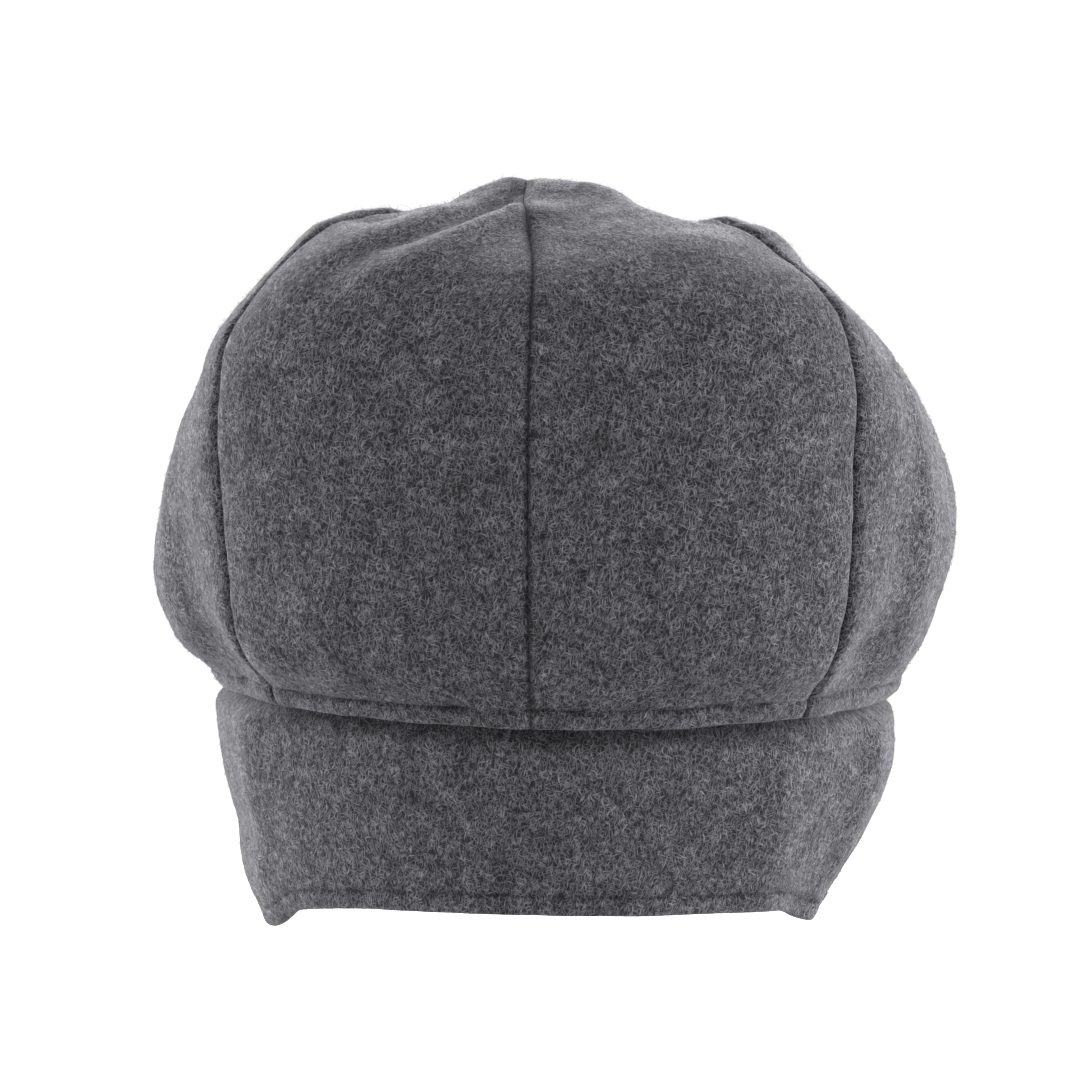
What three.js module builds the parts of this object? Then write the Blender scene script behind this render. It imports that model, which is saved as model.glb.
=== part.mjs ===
// An eight-panel wool cap with a puffed crown, a peak at the front and a one-piece
// curtain that hangs from inside the rim and covers the neck and ears.
//
// Millimetres, +Z up. The origin is the centre of the rim, where a head fills the cap.
// The peak points to -Y, so the back of the cap faces +Y and the wearer's left is +X.
// Azimuths are in degrees from the back: 0 is +Y, 90 is +X, 180 is the front.

import * as THREE from 'three';

// Driving dimensions of the cap
const PANEL_COUNT = 8;
const PANEL_ANGLE = 360 / PANEL_COUNT;
const RIM_HALF_LENGTH = 104;
const SEAM_GAP = 0.3; // clearance that separately cut pieces keep where they are sewn together
const WOOL = 2.2; // thickness of one layer of milled wool
const HEM_THICKNESS = 3.2; // the turned-up edge of the panels
const HEM_TILT = 1.8; // the wearer's left side of the hem rides this much higher, the right side lower

// Sections of the crown from rim to top. Each row is a level of the crown, with its height and
// how far each seam stands out from the cap's middle there. The back corners stay square up to
// the shoulder, and the sides draw in earlier.
const CROWN_COLUMNS = [
  'up', 'back', 'backLeft', 'left', 'frontLeft', 'front', 'frontRight', 'right', 'backRight',
];
const CROWN_SECTIONS = [
  [0, 104, 98.6, 94, 98.6, 104, 98.6, 94, 98.6],
  [7, 106, 103, 97, 103, 108, 103, 97.3, 103],
  [15, 109.5, 111, 104, 112, 115.5, 110, 101, 110.5],
  [27, 113, 115, 108.5, 119, 122, 116, 105.5, 115],
  [43, 115.5, 117, 107.5, 121, 125, 120, 109.5, 117.5],
  [62, 116, 118.5, 102, 118, 123, 118, 106, 118.5],
  [81, 114.5, 119, 88.5, 112, 117, 110, 97, 119],
  [97, 110.5, 116, 75, 102, 107, 99, 80, 116.5],
  [109, 102, 108, 63, 88, 95, 84, 61, 109],
  [118, 90, 98, 54, 73, 80, 66, 46, 96],
  [124.5, 75, 86, 45, 57, 62, 50, 36, 79],
  [129, 58, 72, 36, 42, 44, 35, 26, 58],
  [132, 40, 52, 30, 33, 31, 25, 20, 36],
  [133.5, 21, 27, 16, 17, 16, 13, 11, 18],
  [133, 0, 0, 0, 0, 0, 0, 0, 0],
].map((row) => Object.fromEntries(row.map((value, i) => [CROWN_COLUMNS[i], value])));
const SEAMS = CROWN_COLUMNS.slice(1);

// How far the cloth of each panel swells out between its seams, low on the crown and high on it.
// The panels follow each other from the back seam round by the wearer's left.
const PANELS = [
  { puff: 1.5, topPuff: 3 },
  { puff: 3.5, topPuff: -1 },
  { puff: 6, topPuff: 2 },
  { puff: 4.5, topPuff: 3 },
  { puff: 4.5, topPuff: 3 },
  { puff: 6, topPuff: 1 },
  { puff: 4, topPuff: -0.5 },
  { puff: 1.5, topPuff: 3 },
];

const PUFF_BOW = 1.3; // above 1 the cloth beside a seam stays flat, and the middle bulges more

// How the seams draw in, less and less towards the top
const SEAM_SINK = 1.1;
const SEAM_WIDTH = 2.4;
const SINK_NONE = 30; // the reach from the cap's middle where a seam doesn't draw in yet
const SINK_FULL = 60; // and where it does in full

// The back seam leans towards the wearer's left near the top, by this many degrees there.
const SEAM_LEAN = 17;
const LEAN_FROM = 0.55; // the height where it starts
const LEAN_TO = 0.93;

// The share of a panel's width, beside each seam, over which its cut edge turns upright, so that
// a fold across the seam doesn't push it into its neighbour
const EDGE_UPRIGHT = 0.12;

// Folds and dents of the crown. Each runs between two places on it, given by azimuth and by
// height along the profile (0 the rim, 1 the top), and stands `rise` mm proud of the cloth at
// its start and `toRise` at its end.
const CROWN_FOLDS = [
  { azimuth: 1, height: 0.87, toAzimuth: 24, toHeight: 0.57, width: 6, rise: 3, toRise: 0.6 },
  { azimuth: 4, height: 0.88, toAzimuth: 28, toHeight: 0.64, width: 5, rise: -3.8, toRise: -1.2 },
  { azimuth: 40, height: 0.86, toAzimuth: 36, toHeight: 0.8, width: 8, rise: -3.9, toRise: -3.9 },
  { azimuth: 32, height: 0.8, toAzimuth: 60, toHeight: 0.86, width: 12, rise: 1.1, toRise: 1.1 },
  { azimuth: 48, height: 0.83, toAzimuth: 53, toHeight: 0.74, width: 12, rise: 3.5, toRise: 3.5 },
  { azimuth: 6, height: 0.94, toAzimuth: -30, toHeight: 0.86, width: 14, rise: 8, toRise: 7.7 },
  { azimuth: -39, height: 0.94, toAzimuth: -43, toHeight: 0.82, width: 11.5, rise: -7.7, toRise: -7.9 },
  { azimuth: -49, height: 0.8, toAzimuth: -56, toHeight: 0.7, width: 12, rise: 4, toRise: 5 },
  { azimuth: 57, height: 0.4, toAzimuth: 57, toHeight: 0.16, width: 13, rise: -1, toRise: -6.5 },
  { azimuth: -57, height: 0.38, toAzimuth: -57, toHeight: 0.16, width: 13, rise: -1, toRise: -6.5 },
];

// The curtain over neck and ears: a double layer whose top is sewn inside the hem.
const CURTAIN_THICKNESS = 3;
const CURTAIN_TUCK = 9; // how far its top edge reaches up inside the crown
const CURTAIN_END = 121; // azimuth of its two front ends

// The length of the curtain below the rim on both sides, by angle from the back.
const CURTAIN_DROP = [
  { angle: 0, left: 50.3, right: 50.3 },
  { angle: 30, left: 52.7, right: 51.6 },
  { angle: 50, left: 57.3, right: 53.6 },
  { angle: 60, left: 64, right: 58 },
  { angle: 68, left: 65, right: 60 },
  { angle: 82, left: 63, right: 61 },
  { angle: 98, left: 58, right: 55 },
  { angle: 111, left: 45, right: 41 },
  { angle: 121, left: 20, right: 20 },
];

// How far the curtain stands inside the rim's oval at each level, at the back and over each ear.
const CURTAIN_SECTIONS = [
  { up: 9, back: 2, left: 1.2, right: 1.6 },
  { up: 5.5, back: 3.4, left: 3.2, right: 3.3 },
  { up: 0, back: 4.1, left: 4.3, right: 4.3 },
  { up: -4, back: 4, left: -0.2, right: 0.2 },
  { up: -10, back: 4.5, left: -0.3, right: -0.6 },
  { up: -22, back: 6, left: 1.4, right: 0.3 },
  { up: -38, back: 9, left: 5.4, right: 7 },
  { up: -52, back: 12, left: 6.6, right: 15.5 },
  { up: -68, back: 16, left: 12.5, right: 24 },
];

// Soft upright folds of the curtain, from rim level to its lower edge.
const CURTAIN_FOLDS = [
  { azimuth: 56, up: -4, toAzimuth: 62, toUp: -66, width: 9, rise: 2.5, toRise: 2.5 },
  { azimuth: 88, up: -34, toAzimuth: 92, toUp: -48, width: 13, rise: 2, toRise: 2 },
  { azimuth: -70, up: -4, toAzimuth: -62, toUp: -62, width: 8, rise: 3, toRise: 3 },
  { azimuth: -40, up: -18, toAzimuth: -44, toUp: -60, width: 9, rise: 2, toRise: 2 },
];

// The peak
const PEAK_HALF_ANGLE = 56; // from the front to each tip
const PEAK_HALF_WIDTH = 82;
const PEAK_REACH = 54; // in front of the rim
const PEAK_DROP = 24;
const PEAK_THICKNESS = 4;
const PEAK_INSET = 3.6; // its root is sewn inside the hem,
const PEAK_TUCK = 6; // and turns up there by this much

// The covered button
const BUTTON_RADIUS = 9.5;
const BUTTON_HEIGHT = 5.5;

const rad = THREE.MathUtils.degToRad;
const mix = THREE.MathUtils.lerp;
const smooth = THREE.MathUtils.smoothstep;

// The smooth curve through four evenly spaced values, at fraction f from the second to the third.
const between = (a, b, c, d, f) =>
  b + 0.5 * f * (c - a + f * (2 * a - 5 * b + 4 * c - d + f * (3 * (b - c) + d - a)));

// A smooth value from a table's column, at a place between its rows counted from 0.
function fromRows(rows, column, place) {
  const last = rows.length - 1;
  const i = THREE.MathUtils.clamp(Math.floor(place), 0, last - 1);
  const at = (k) => rows[THREE.MathUtils.clamp(k, 0, last)][column];
  return between(at(i - 1), at(i), at(i + 1), at(i + 2), place - i);
}

// The place between rows at which the rows' key column has the given value.
function placeOf(rows, key, value) {
  const rising = rows[1][key] > rows[0][key];
  let i = 0;
  while (i < rows.length - 2 && rising === value > rows[i + 1][key]) i++;
  const f = (value - rows[i][key]) / (rows[i + 1][key] - rows[i][key]);
  return i + THREE.MathUtils.clamp(f, 0, 1);
}

const outward = (azimuth) => new THREE.Vector3(Math.sin(rad(azimuth)), Math.cos(rad(azimuth)), 0);

// The direction in which a seam lies from the cap's middle. Seam 0 is the one at the back.
function seamAzimuth(k, height) {
  const isBack = THREE.MathUtils.euclideanModulo(k, PANEL_COUNT) === 0;
  const lean = THREE.MathUtils.clamp((height - LEAN_FROM) / (LEAN_TO - LEAN_FROM), 0, 1) ** 3;
  return k * PANEL_ANGLE + (isBack ? SEAM_LEAN * lean : 0);
}

// The crown without puff or folds, at an azimuth and a height along the profile from 0 to 1.
// Between two seams it is the smooth curve through them and their neighbours.
function crownForm(azimuth, height) {
  const place = height * (CROWN_SECTIONS.length - 1);
  const seam = Math.floor(azimuth / PANEL_ANGLE);
  const corners = [seam - 1, seam, seam + 1, seam + 2].map((k) => {
    const column = SEAMS[THREE.MathUtils.euclideanModulo(k, PANEL_COUNT)];
    return outward(seamAzimuth(k, height)).multiplyScalar(fromRows(CROWN_SECTIONS, column, place));
  });
  const along = azimuth / PANEL_ANGLE - seam;
  return new THREE.Vector3(
    between(...corners.map((p) => p.x), along),
    between(...corners.map((p) => p.y), along),
    fromRows(CROWN_SECTIONS, 'up', place) + HEM_TILT * Math.sin(rad(azimuth)) * (1 - height) ** 4);
}

const STEP = 0.002;

// The outward normal of a surface given as a function of two parameters.
function normalOf(surface, u, v) {
  const along = surface(u + STEP, v).sub(surface(u - STEP, v));
  const up = surface(u, v + STEP).sub(surface(u, v - STEP));
  return along.cross(up).normalize().negate();
}

// A fold as points that follow a surface, each with its rise.
function foldPath(surface, fold, from, to) {
  const steps = 6;
  const path = [];
  const rises = [];
  for (let i = 0; i <= steps; i++) {
    path.push(surface(mix(from[0], to[0], i / steps), mix(from[1], to[1], i / steps)));
    rises.push(mix(fold.rise, fold.toRise, i / steps));
  }
  return { path, rises, width: fold.width };
}

// The displacement that all the folds give to a point, each fading with its distance.
function foldRise(folds, point) {
  let rise = 0;
  for (const fold of folds) {
    let distance = Infinity;
    let riseThere = 0;
    for (let i = 0; i < fold.path.length - 1; i++) {
      const segment = new THREE.Line3(fold.path[i], fold.path[i + 1]);
      const part = segment.closestPointToPointParameter(point, true);
      const gap = segment.at(part, new THREE.Vector3()).distanceTo(point);
      if (gap < distance) {
        distance = gap;
        riseThere = mix(fold.rises[i], fold.rises[i + 1], part);
      }
    }
    rise += riseThere * Math.exp(-((distance / fold.width) ** 2));
  }
  return rise;
}

const crownFolds = CROWN_FOLDS.map((fold) =>
  foldPath(crownForm, fold, [fold.azimuth, fold.height], [fold.toAzimuth, fold.toHeight]));

// The crown's outer face with each panel swollen between its seams, and with its folds.
function crownFace(azimuth, height) {
  const point = crownForm(azimuth, height);
  const inPanel = THREE.MathUtils.euclideanModulo(azimuth / PANEL_ANGLE, 1);
  const reach = Math.hypot(point.x, point.y);
  const toSeam = reach * rad(PANEL_ANGLE) * Math.min(inPanel, 1 - inPanel);
  const fullness = smooth(height, 0, 0.3) * smooth(reach, 0, 45);
  const panel = PANELS[Math.floor(THREE.MathUtils.euclideanModulo(azimuth, 360) / PANEL_ANGLE)];
  const swell = mix(panel.puff, panel.topPuff, smooth(height, 0.35, 0.65));
  const puff = swell * fullness * Math.sin(Math.PI * inPanel) ** PUFF_BOW;
  const sink = SEAM_SINK * Math.exp(-((toSeam / SEAM_WIDTH) ** 2)) * smooth(reach, SINK_NONE, SINK_FULL)
    * mix(0.3, 1, smooth(height, 0, 0.12));
  const rise = puff - sink + foldRise(crownFolds, point) * smooth(reach, 8, 26);
  return point.addScaledVector(normalOf(crownForm, azimuth, Math.min(height, 0.985)), rise);
}

// A closed wall of cloth. `face(u, v)` is its outer face with u and v from 0 to 1, which turn
// clockwise seen from outside, and `inner(u, v, point, normal)` is the point behind it.
function clothWall(face, columns, rows, inner) {
  const points = [];
  const index = [];
  const width = columns.length;
  const layer = width * rows.length;
  for (const side of [0, 1]) {
    for (const v of rows) {
      for (const u of columns) {
        const point = face(u, v);
        points.push(side ? inner(u, v, point, normalOf(face, u, v)) : point);
      }
    }
  }
  const quad = (a, b, c, d) => index.push(a, b, c, a, c, d);
  for (let j = 0; j < rows.length - 1; j++) {
    for (let i = 0; i < width - 1; i++) {
      const a = j * width + i;
      quad(a, a + width, a + width + 1, a + 1);
      quad(layer + a, layer + a + 1, layer + a + width + 1, layer + a + width);
    }
  }
  for (let i = 0; i < width - 1; i++) {
    const top = layer - width + i;
    quad(i, i + 1, layer + i + 1, layer + i);
    quad(top, layer + top, layer + top + 1, top + 1);
  }
  for (let j = 0; j < rows.length - 1; j++) {
    const a = j * width;
    const b = a + width - 1;
    quad(a, layer + a, layer + a + width, a + width);
    quad(b, b + width, layer + b + width, layer + b);
  }
  const geometry = new THREE.BufferGeometry().setFromPoints(points);
  geometry.setIndex(index);
  geometry.computeVertexNormals();
  return geometry;
}

const evenly = (count, from = 0, to = 1) =>
  Array.from({ length: count + 1 }, (_, i) => mix(from, to, i / count));

// One panel of the crown, cut with a hair's gap to its neighbours along both seams.
function panelGeometry(number) {
  const middle = (number + 0.5) * PANEL_ANGLE;
  const topHeight = 0.965;
  const azimuthAt = (u, height) => {
    const reach = Math.max(Math.hypot(crownForm(middle, height).x, crownForm(middle, height).y), 1);
    const half = PANEL_ANGLE / 2 - THREE.MathUtils.radToDeg(SEAM_GAP / 2 / reach);
    return middle + (2 * u - 1) * half;
  };
  const face = (u, v) => crownFace(azimuthAt(u, v * topHeight), v * topHeight);
  const inner = (u, v, point, normal) => {
    const hem = smooth(v * topHeight, 0.05, 0.08);
    const sideways = outward(azimuthAt(u, v * topHeight) + 90);
    const upright = 1 - smooth(Math.min(u, 1 - u), 0, EDGE_UPRIGHT);
    normal.addScaledVector(sideways, -normal.dot(sideways) * upright).normalize();
    return point.clone().addScaledVector(normal, -mix(HEM_THICKNESS, WOOL, hem));
  };
  const columns = [0, 0.035, 0.14, 0.32, 0.5, 0.68, 0.86, 0.965, 1];
  return clothWall(face, columns, [0, 0.03, ...evenly(19, 0.06, 1)], inner);
}

const earOf = (azimuth) => (azimuth > 0 ? 'left' : 'right');

// The curtain's outer face before its folds, at an azimuth and a height above the rim.
function curtainForm(azimuth, up) {
  const place = placeOf(CURTAIN_SECTIONS, 'up', up);
  const inset = mix(
    fromRows(CURTAIN_SECTIONS, 'back', place),
    fromRows(CURTAIN_SECTIONS, earOf(azimuth), place),
    Math.sin(rad(azimuth)) ** 2);
  const point = crownForm(azimuth, 0).addScaledVector(outward(azimuth), -inset);
  point.z += up;
  return point;
}

const curtainFolds = CURTAIN_FOLDS.map((fold) =>
  foldPath(curtainForm, fold, [fold.azimuth, fold.up], [fold.toAzimuth, fold.toUp]));

function curtainGeometry() {
  const face = (u, v) => {
    const azimuth = mix(-CURTAIN_END, CURTAIN_END, u);
    const drop = fromRows(CURTAIN_DROP, earOf(azimuth), placeOf(CURTAIN_DROP, 'angle', Math.abs(azimuth)));
    const up = mix(-drop, CURTAIN_TUCK, v);
    const point = curtainForm(azimuth, up);
    return point.addScaledVector(outward(azimuth), foldRise(curtainFolds, point) * smooth(-up, 0, 8));
  };
  const inner = (u, v, point, normal) => point.clone().addScaledVector(normal, -CURTAIN_THICKNESS);
  return clothWall(face, evenly(56), [...evenly(6, 0, 0.72), 0.79, 0.83, 0.87, 0.94, 1], inner);
}

// The peak's upper face: across it by u, and by v from its edge in to the rim and up inside it.
function peakGeometry() {
  const bend = 0.86;
  const face = (u, v) => {
    const azimuth = 180 + (2 * u - 1) * PEAK_HALF_ANGLE;
    const turn = rad((2 * u - 1) * 90);
    const tipY = crownForm(180 - PEAK_HALF_ANGLE, 0).y;
    const root = crownForm(azimuth, 0).addScaledVector(outward(azimuth), -PEAK_INSET);
    const edge = new THREE.Vector3(
      -PEAK_HALF_WIDTH * Math.sin(turn),
      tipY - (RIM_HALF_LENGTH + PEAK_REACH + tipY) * Math.max(Math.cos(turn), 0) ** 0.85,
      root.z);
    const length = edge.distanceTo(root);
    const out = 1 - Math.min(v / bend, 1);
    const drop = PEAK_DROP * (length / PEAK_REACH) ** 0.6 * out ** 1.1;
    const rise = PEAK_TUCK * smooth(v, bend, 1);
    return root.lerp(edge, out).add(new THREE.Vector3(0, 0, rise - drop - 0.4));
  };
  const inner = (u, v, point, normal) => point.clone().addScaledVector(normal, -PEAK_THICKNESS);
  return clothWall(face, evenly(24), [...evenly(5, 0, 0.78), 0.83, bend, 0.93, 1], inner);
}

function buttonGeometry() {
  const dome = new THREE.Path();
  dome.moveTo(0, 0);
  dome.lineTo(BUTTON_RADIUS * 0.8, 0);
  dome.quadraticCurveTo(
    BUTTON_RADIUS * 1.1, BUTTON_HEIGHT * 0.35,
    BUTTON_RADIUS * 0.82, BUTTON_HEIGHT * 0.72);
  dome.quadraticCurveTo(BUTTON_RADIUS * 0.5, BUTTON_HEIGHT, 0, BUTTON_HEIGHT);
  return new THREE.LatheGeometry(dome.getPoints(4), 20).rotateX(Math.PI / 2);
}

const wool = new THREE.MeshStandardMaterial({ color: 0x535155, roughness: 1, metalness: 0 });

function piece(name, geometry) {
  const mesh = new THREE.Mesh(geometry, wool);
  mesh.name = name;
  return mesh;
}

const cap = new THREE.Group();
for (let number = 0; number < PANEL_COUNT; number++) {
  cap.add(piece(`crown_panel_${number + 1}`, panelGeometry(number)));
}
cap.add(piece('neck_and_ear_curtain', curtainGeometry()));
cap.add(piece('peak', peakGeometry()));
const button = piece('crown_button', buttonGeometry());
button.position.z = crownForm(0, 0.95).z + 0.55;
cap.add(button);

export default cap;
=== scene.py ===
# %% [markdown]
# A wool cap with eight panels, seen from behind. Every piece is cut here as real cloth: a
# fine mesh wall that follows the same tables as the solid model, with rolled seam edges, a
# topstitched hem and a nap of short fibres. The solid model gives the frame that the
# pieces have to stay in, so it is loaded first and measured.

# %% Load the frame
import math

import bmesh
import bpy
import numpy as np
from mathutils import Matrix, Vector


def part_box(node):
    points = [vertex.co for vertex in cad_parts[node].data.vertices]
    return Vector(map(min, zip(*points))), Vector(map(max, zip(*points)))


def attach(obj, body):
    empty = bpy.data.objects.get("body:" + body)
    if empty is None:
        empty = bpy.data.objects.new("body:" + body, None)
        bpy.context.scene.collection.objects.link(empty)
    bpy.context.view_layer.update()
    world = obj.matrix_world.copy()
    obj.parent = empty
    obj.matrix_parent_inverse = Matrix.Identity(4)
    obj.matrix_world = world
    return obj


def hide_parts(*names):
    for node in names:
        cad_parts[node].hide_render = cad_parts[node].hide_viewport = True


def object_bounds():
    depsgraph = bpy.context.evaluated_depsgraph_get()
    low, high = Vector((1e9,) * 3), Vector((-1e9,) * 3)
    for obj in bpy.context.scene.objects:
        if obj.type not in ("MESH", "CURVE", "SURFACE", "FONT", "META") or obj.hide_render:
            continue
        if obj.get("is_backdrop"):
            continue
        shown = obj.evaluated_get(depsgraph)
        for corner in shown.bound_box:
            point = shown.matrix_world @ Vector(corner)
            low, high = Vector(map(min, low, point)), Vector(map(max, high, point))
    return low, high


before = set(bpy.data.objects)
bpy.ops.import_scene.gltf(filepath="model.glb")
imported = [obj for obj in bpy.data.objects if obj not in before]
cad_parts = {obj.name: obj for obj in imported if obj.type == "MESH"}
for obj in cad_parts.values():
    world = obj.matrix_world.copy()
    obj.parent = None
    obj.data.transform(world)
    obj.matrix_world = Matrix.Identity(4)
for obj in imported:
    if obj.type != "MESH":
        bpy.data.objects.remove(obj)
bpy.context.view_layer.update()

# %% [markdown]
# The photograph looks at the back of the cap from a little above its rim, with a long lens.
# A camera can be placed by hand, but here its place follows from three facts: the point it
# looks at, the direction back to it and the width it sees. That keeps the view true to the
# photograph when any of them is changed.

# %% Camera
MM = 0.001  # the tables below are in millimetres, and Blender's unit is the metre
CAMERA_DISTANCE = 1.2
CAMERA_RISE = math.radians(5)
CAMERA_TURN = math.radians(-3.8)
VIEW_WIDTH = 0.3024  # how much of the cap's middle plane the picture covers
LOOKED_AT = Vector((0.0045, 0, 0.0402))


def add_object(name, data):
    made = bpy.data.objects.new(name, data)
    bpy.context.scene.collection.objects.link(made)
    return made


def aimed(name, data, place):
    """A camera or a light that stands at a place and looks at the cap."""
    made = add_object(name, data)
    made.location = place
    made.rotation_mode = "QUATERNION"
    made.rotation_quaternion = (LOOKED_AT - Vector(place)).to_track_quat("-Z", "Y")
    return made


to_camera = Vector((
    math.sin(CAMERA_TURN) * math.cos(CAMERA_RISE),
    math.cos(CAMERA_TURN) * math.cos(CAMERA_RISE),
    math.sin(CAMERA_RISE)))
camera = aimed("camera", bpy.data.cameras.new("camera"), LOOKED_AT + to_camera * CAMERA_DISTANCE)
camera.data.lens = camera.data.sensor_width * CAMERA_DISTANCE / VIEW_WIDTH
bpy.context.scene.camera = camera
print("lens, mm:", round(camera.data.lens, 1))

# %% [markdown]
# Light and every finish are built from nodes. Adding a node, setting it and linking it takes
# several lines each time, so helpers do it: each input is given by its name or number, and
# is either a value or another node's output.

# %% Adding nodes


def set_inputs(tree, node, inputs):
    for key, value in inputs.items():
        if hasattr(value, "is_output"):
            tree.links.new(value, node.inputs[key])
        else:
            node.inputs[key].default_value = value


def add_node(tree, kind, inputs, **settings):
    """A shader node of a kind, with its settings and inputs."""
    node = tree.nodes.new("ShaderNode" + kind)
    for name, value in settings.items():
        setattr(node, name, value)
    set_inputs(tree, node, inputs)
    return node


def new_finish(name):
    """A material, its nodes and its shader."""
    material = bpy.data.materials.new(name)
    material.use_nodes = True
    return material, material.node_tree, material.node_tree.nodes["Principled BSDF"]


def grey(level):
    return (level, level, level, 1)


print("white is", grey(1))

# %% [markdown]
# The cap was shot in a white studio: the ground and walls are brighter than any cloth, and
# light comes softly from all sides. A white world that is a little dimmer overhead gives the
# even part of it. The camera sees a plainer and brighter white than the one that lights the
# cap, which is how an overexposed wall looks.

# %% White world
WORLD_LIGHT = 0.56
OVERHEAD = 0.8  # the share of that light which comes from straight above
PAPER_WHITE = 1.02

world = bpy.data.worlds.new("white studio")
bpy.context.scene.world = world
world.use_nodes = True
sky = world.node_tree
sky.nodes.clear()
way = add_node(sky, "SeparateXYZ", {0: add_node(sky, "TexCoord", {}).outputs["Generated"]})
fading = add_node(sky, "MapRange", {
    "Value": way.outputs["Z"], "To Min": WORLD_LIGHT, "To Max": WORLD_LIGHT * OVERHEAD})
lit = add_node(sky, "Background", {"Color": grey(1), "Strength": fading.outputs["Result"]})
seen = add_node(sky, "Background", {"Color": grey(1), "Strength": PAPER_WHITE})
path = add_node(sky, "LightPath", {})
choose = add_node(sky, "MixShader", {
    0: path.outputs["Is Camera Ray"], 1: lit.outputs[0], 2: seen.outputs[0]})
add_node(sky, "OutputWorld", {"Surface": choose.outputs[0]})
bpy.context.scene.view_settings.view_transform = "Standard"
print("nodes of the world:", len(sky.nodes))

# %% [markdown]
# The direction in the light comes from large soft boxes, most of them behind the cap, which
# is why its sides are pale and its back is dark. Area lights are made for this: the larger
# the light, the softer its shadows.

# %% Soft boxes
SOFT_BOX_SIZE = 1.4
SOFT_BOXES = (
    # name, place, power
    ("light behind the wearer's left", (1.5, -1.2, 0.4), 62),
    ("light behind the wearer's right", (-1.5, -1.2, 0.4), 49),
    ("light from the wearer's left", (1.9, 0.1, 0.4), 20),
    ("light from the wearer's right", (-1.9, 0.1, 0.4), 27),
    ("light from high behind", (0, -1.85, 0.65), 76),
)
for name, place, power in SOFT_BOXES:
    lamp = bpy.data.lights.new(name, "AREA")
    lamp.size = SOFT_BOX_SIZE
    lamp.energy = power
    aimed(name, lamp, place)
print("soft boxes:", len(SOFT_BOXES))

# %% [markdown]
# The floor lies well below the cap, because a head would carry it there. It is overexposed
# to the camera, as white paper under studio lights is, but sends little light back up on
# the cap. One large face from a grid is enough.

# %% Floor
FLOOR_LEVEL = -0.36
FLOOR_SIZE = 12
PAPER_GLOW = 0.03  # what the floor adds to the light on the cap


def add_mesh(name, bm):
    """An object from a bmesh, which is freed."""
    mesh = bpy.data.meshes.new(name)
    bm.to_mesh(mesh)
    bm.free()
    return add_object(name, mesh)


floor_bm = bmesh.new()
bmesh.ops.create_grid(floor_bm, x_segments=1, y_segments=1, size=FLOOR_SIZE)
bmesh.ops.translate(floor_bm, verts=floor_bm.verts, vec=(0, 0, FLOOR_LEVEL))
floor = add_mesh("floor", floor_bm)
paper, paper_nodes, paper_shader = new_finish("white paper")
paper_path = add_node(paper_nodes, "LightPath", {})
paper_glow = add_node(paper_nodes, "MapRange", {
    "Value": paper_path.outputs["Is Camera Ray"], "To Min": PAPER_GLOW, "To Max": 1})
set_inputs(paper_nodes, paper_shader, {
    "Base Color": grey(0.3), "Roughness": 0.9, "Emission Color": grey(1),
    "Emission Strength": paper_glow.outputs["Result"]})
floor.data.materials.append(paper)
floor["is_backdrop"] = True
print("floor, metres below the rim:", -FLOOR_LEVEL)

# %% [markdown]
# The crown is a stack of fifteen sections. Each row gives the height of a section and how
# far each of the eight seams stands out there. A smooth curve through the rows gives any
# level, and a smooth curve through neighbouring seams gives any direction. Modelling by a
# table keeps the eight panels equal in kind but lets the square back corners and the lower
# sides differ, as they do on the real cap.

# %% Sections of the crown
PANEL_COUNT = 8
PANEL_ANGLE = 360 / PANEL_COUNT
HEM_TILT = 1.8  # the wearer's left side of the hem rides this much higher
SEAMS = ("back", "back_left", "left", "front_left", "front", "front_right", "right", "back_right")
CROWN_ROWS = (
    # up, then the reach of each seam in the order above
    (0, 104, 98.6, 94, 98.6, 104, 98.6, 94, 98.6),
    (7, 106, 103, 97, 103, 108, 103, 97.3, 103),
    (15, 109.5, 111, 104, 112, 115.5, 110, 101, 110.5),
    (27, 113, 115, 108.5, 119, 122, 116, 105.5, 115),
    (43, 115.5, 117, 107.5, 121, 125, 120, 109.5, 117.5),
    (62, 116, 118.5, 102, 118, 123, 118, 106, 118.5),
    (81, 114.5, 119, 88.5, 112, 117, 110, 97, 119),
    (97, 110.5, 116, 75, 102, 107, 99, 80, 116.5),
    (109, 102, 108, 63, 88, 95, 84, 61, 109),
    (118, 90, 98, 54, 73, 80, 66, 46, 96),
    (124.5, 75, 86, 45, 57, 62, 50, 36, 79),
    (129, 58, 72, 36, 42, 44, 35, 26, 58),
    (132, 40, 52, 30, 33, 31, 25, 20, 36),
    (133.5, 21, 27, 16, 17, 16, 13, 11, 18),
    (133, 0, 0, 0, 0, 0, 0, 0, 0),
)
crown = dict(zip(("up",) + SEAMS, np.array(CROWN_ROWS, float).T))
print("sections of the crown:", len(CROWN_ROWS), "and seams:", len(SEAMS))

# %% [markdown]
# All the tables in this script are read along one kind of smooth curve, which passes through
# every row. Blender's own curves could be sampled instead, but this takes whole arrays of
# points at once.

# %% Smooth curves


def between(a, b, c, d, f):
    """The smooth curve through four evenly spaced values, at fraction f from b to c."""
    return b + 0.5 * f * (c - a + f * (2 * a - 5 * b + 4 * c - d + f * (3 * (b - c) + d - a)))


def from_rows(column, place):
    """A smooth value from a column, at a place between its rows counted from 0."""
    last = len(column) - 1
    i = np.clip(np.floor(place).astype(int), 0, last - 1)
    a, b, c, d = (column[np.clip(i + k, 0, last)] for k in (-1, 0, 1, 2))
    return between(a, b, c, d, place - i)


def smooth(value, low, high):
    """0 below low, 1 above high, and an even S between them."""
    t = np.clip((value - low) / (high - low), 0, 1)
    return t * t * (3 - 2 * t)


def outward(azimuth):
    turn = np.radians(azimuth)
    return np.stack([np.sin(turn), np.cos(turn), np.zeros_like(turn)], -1)


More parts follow.
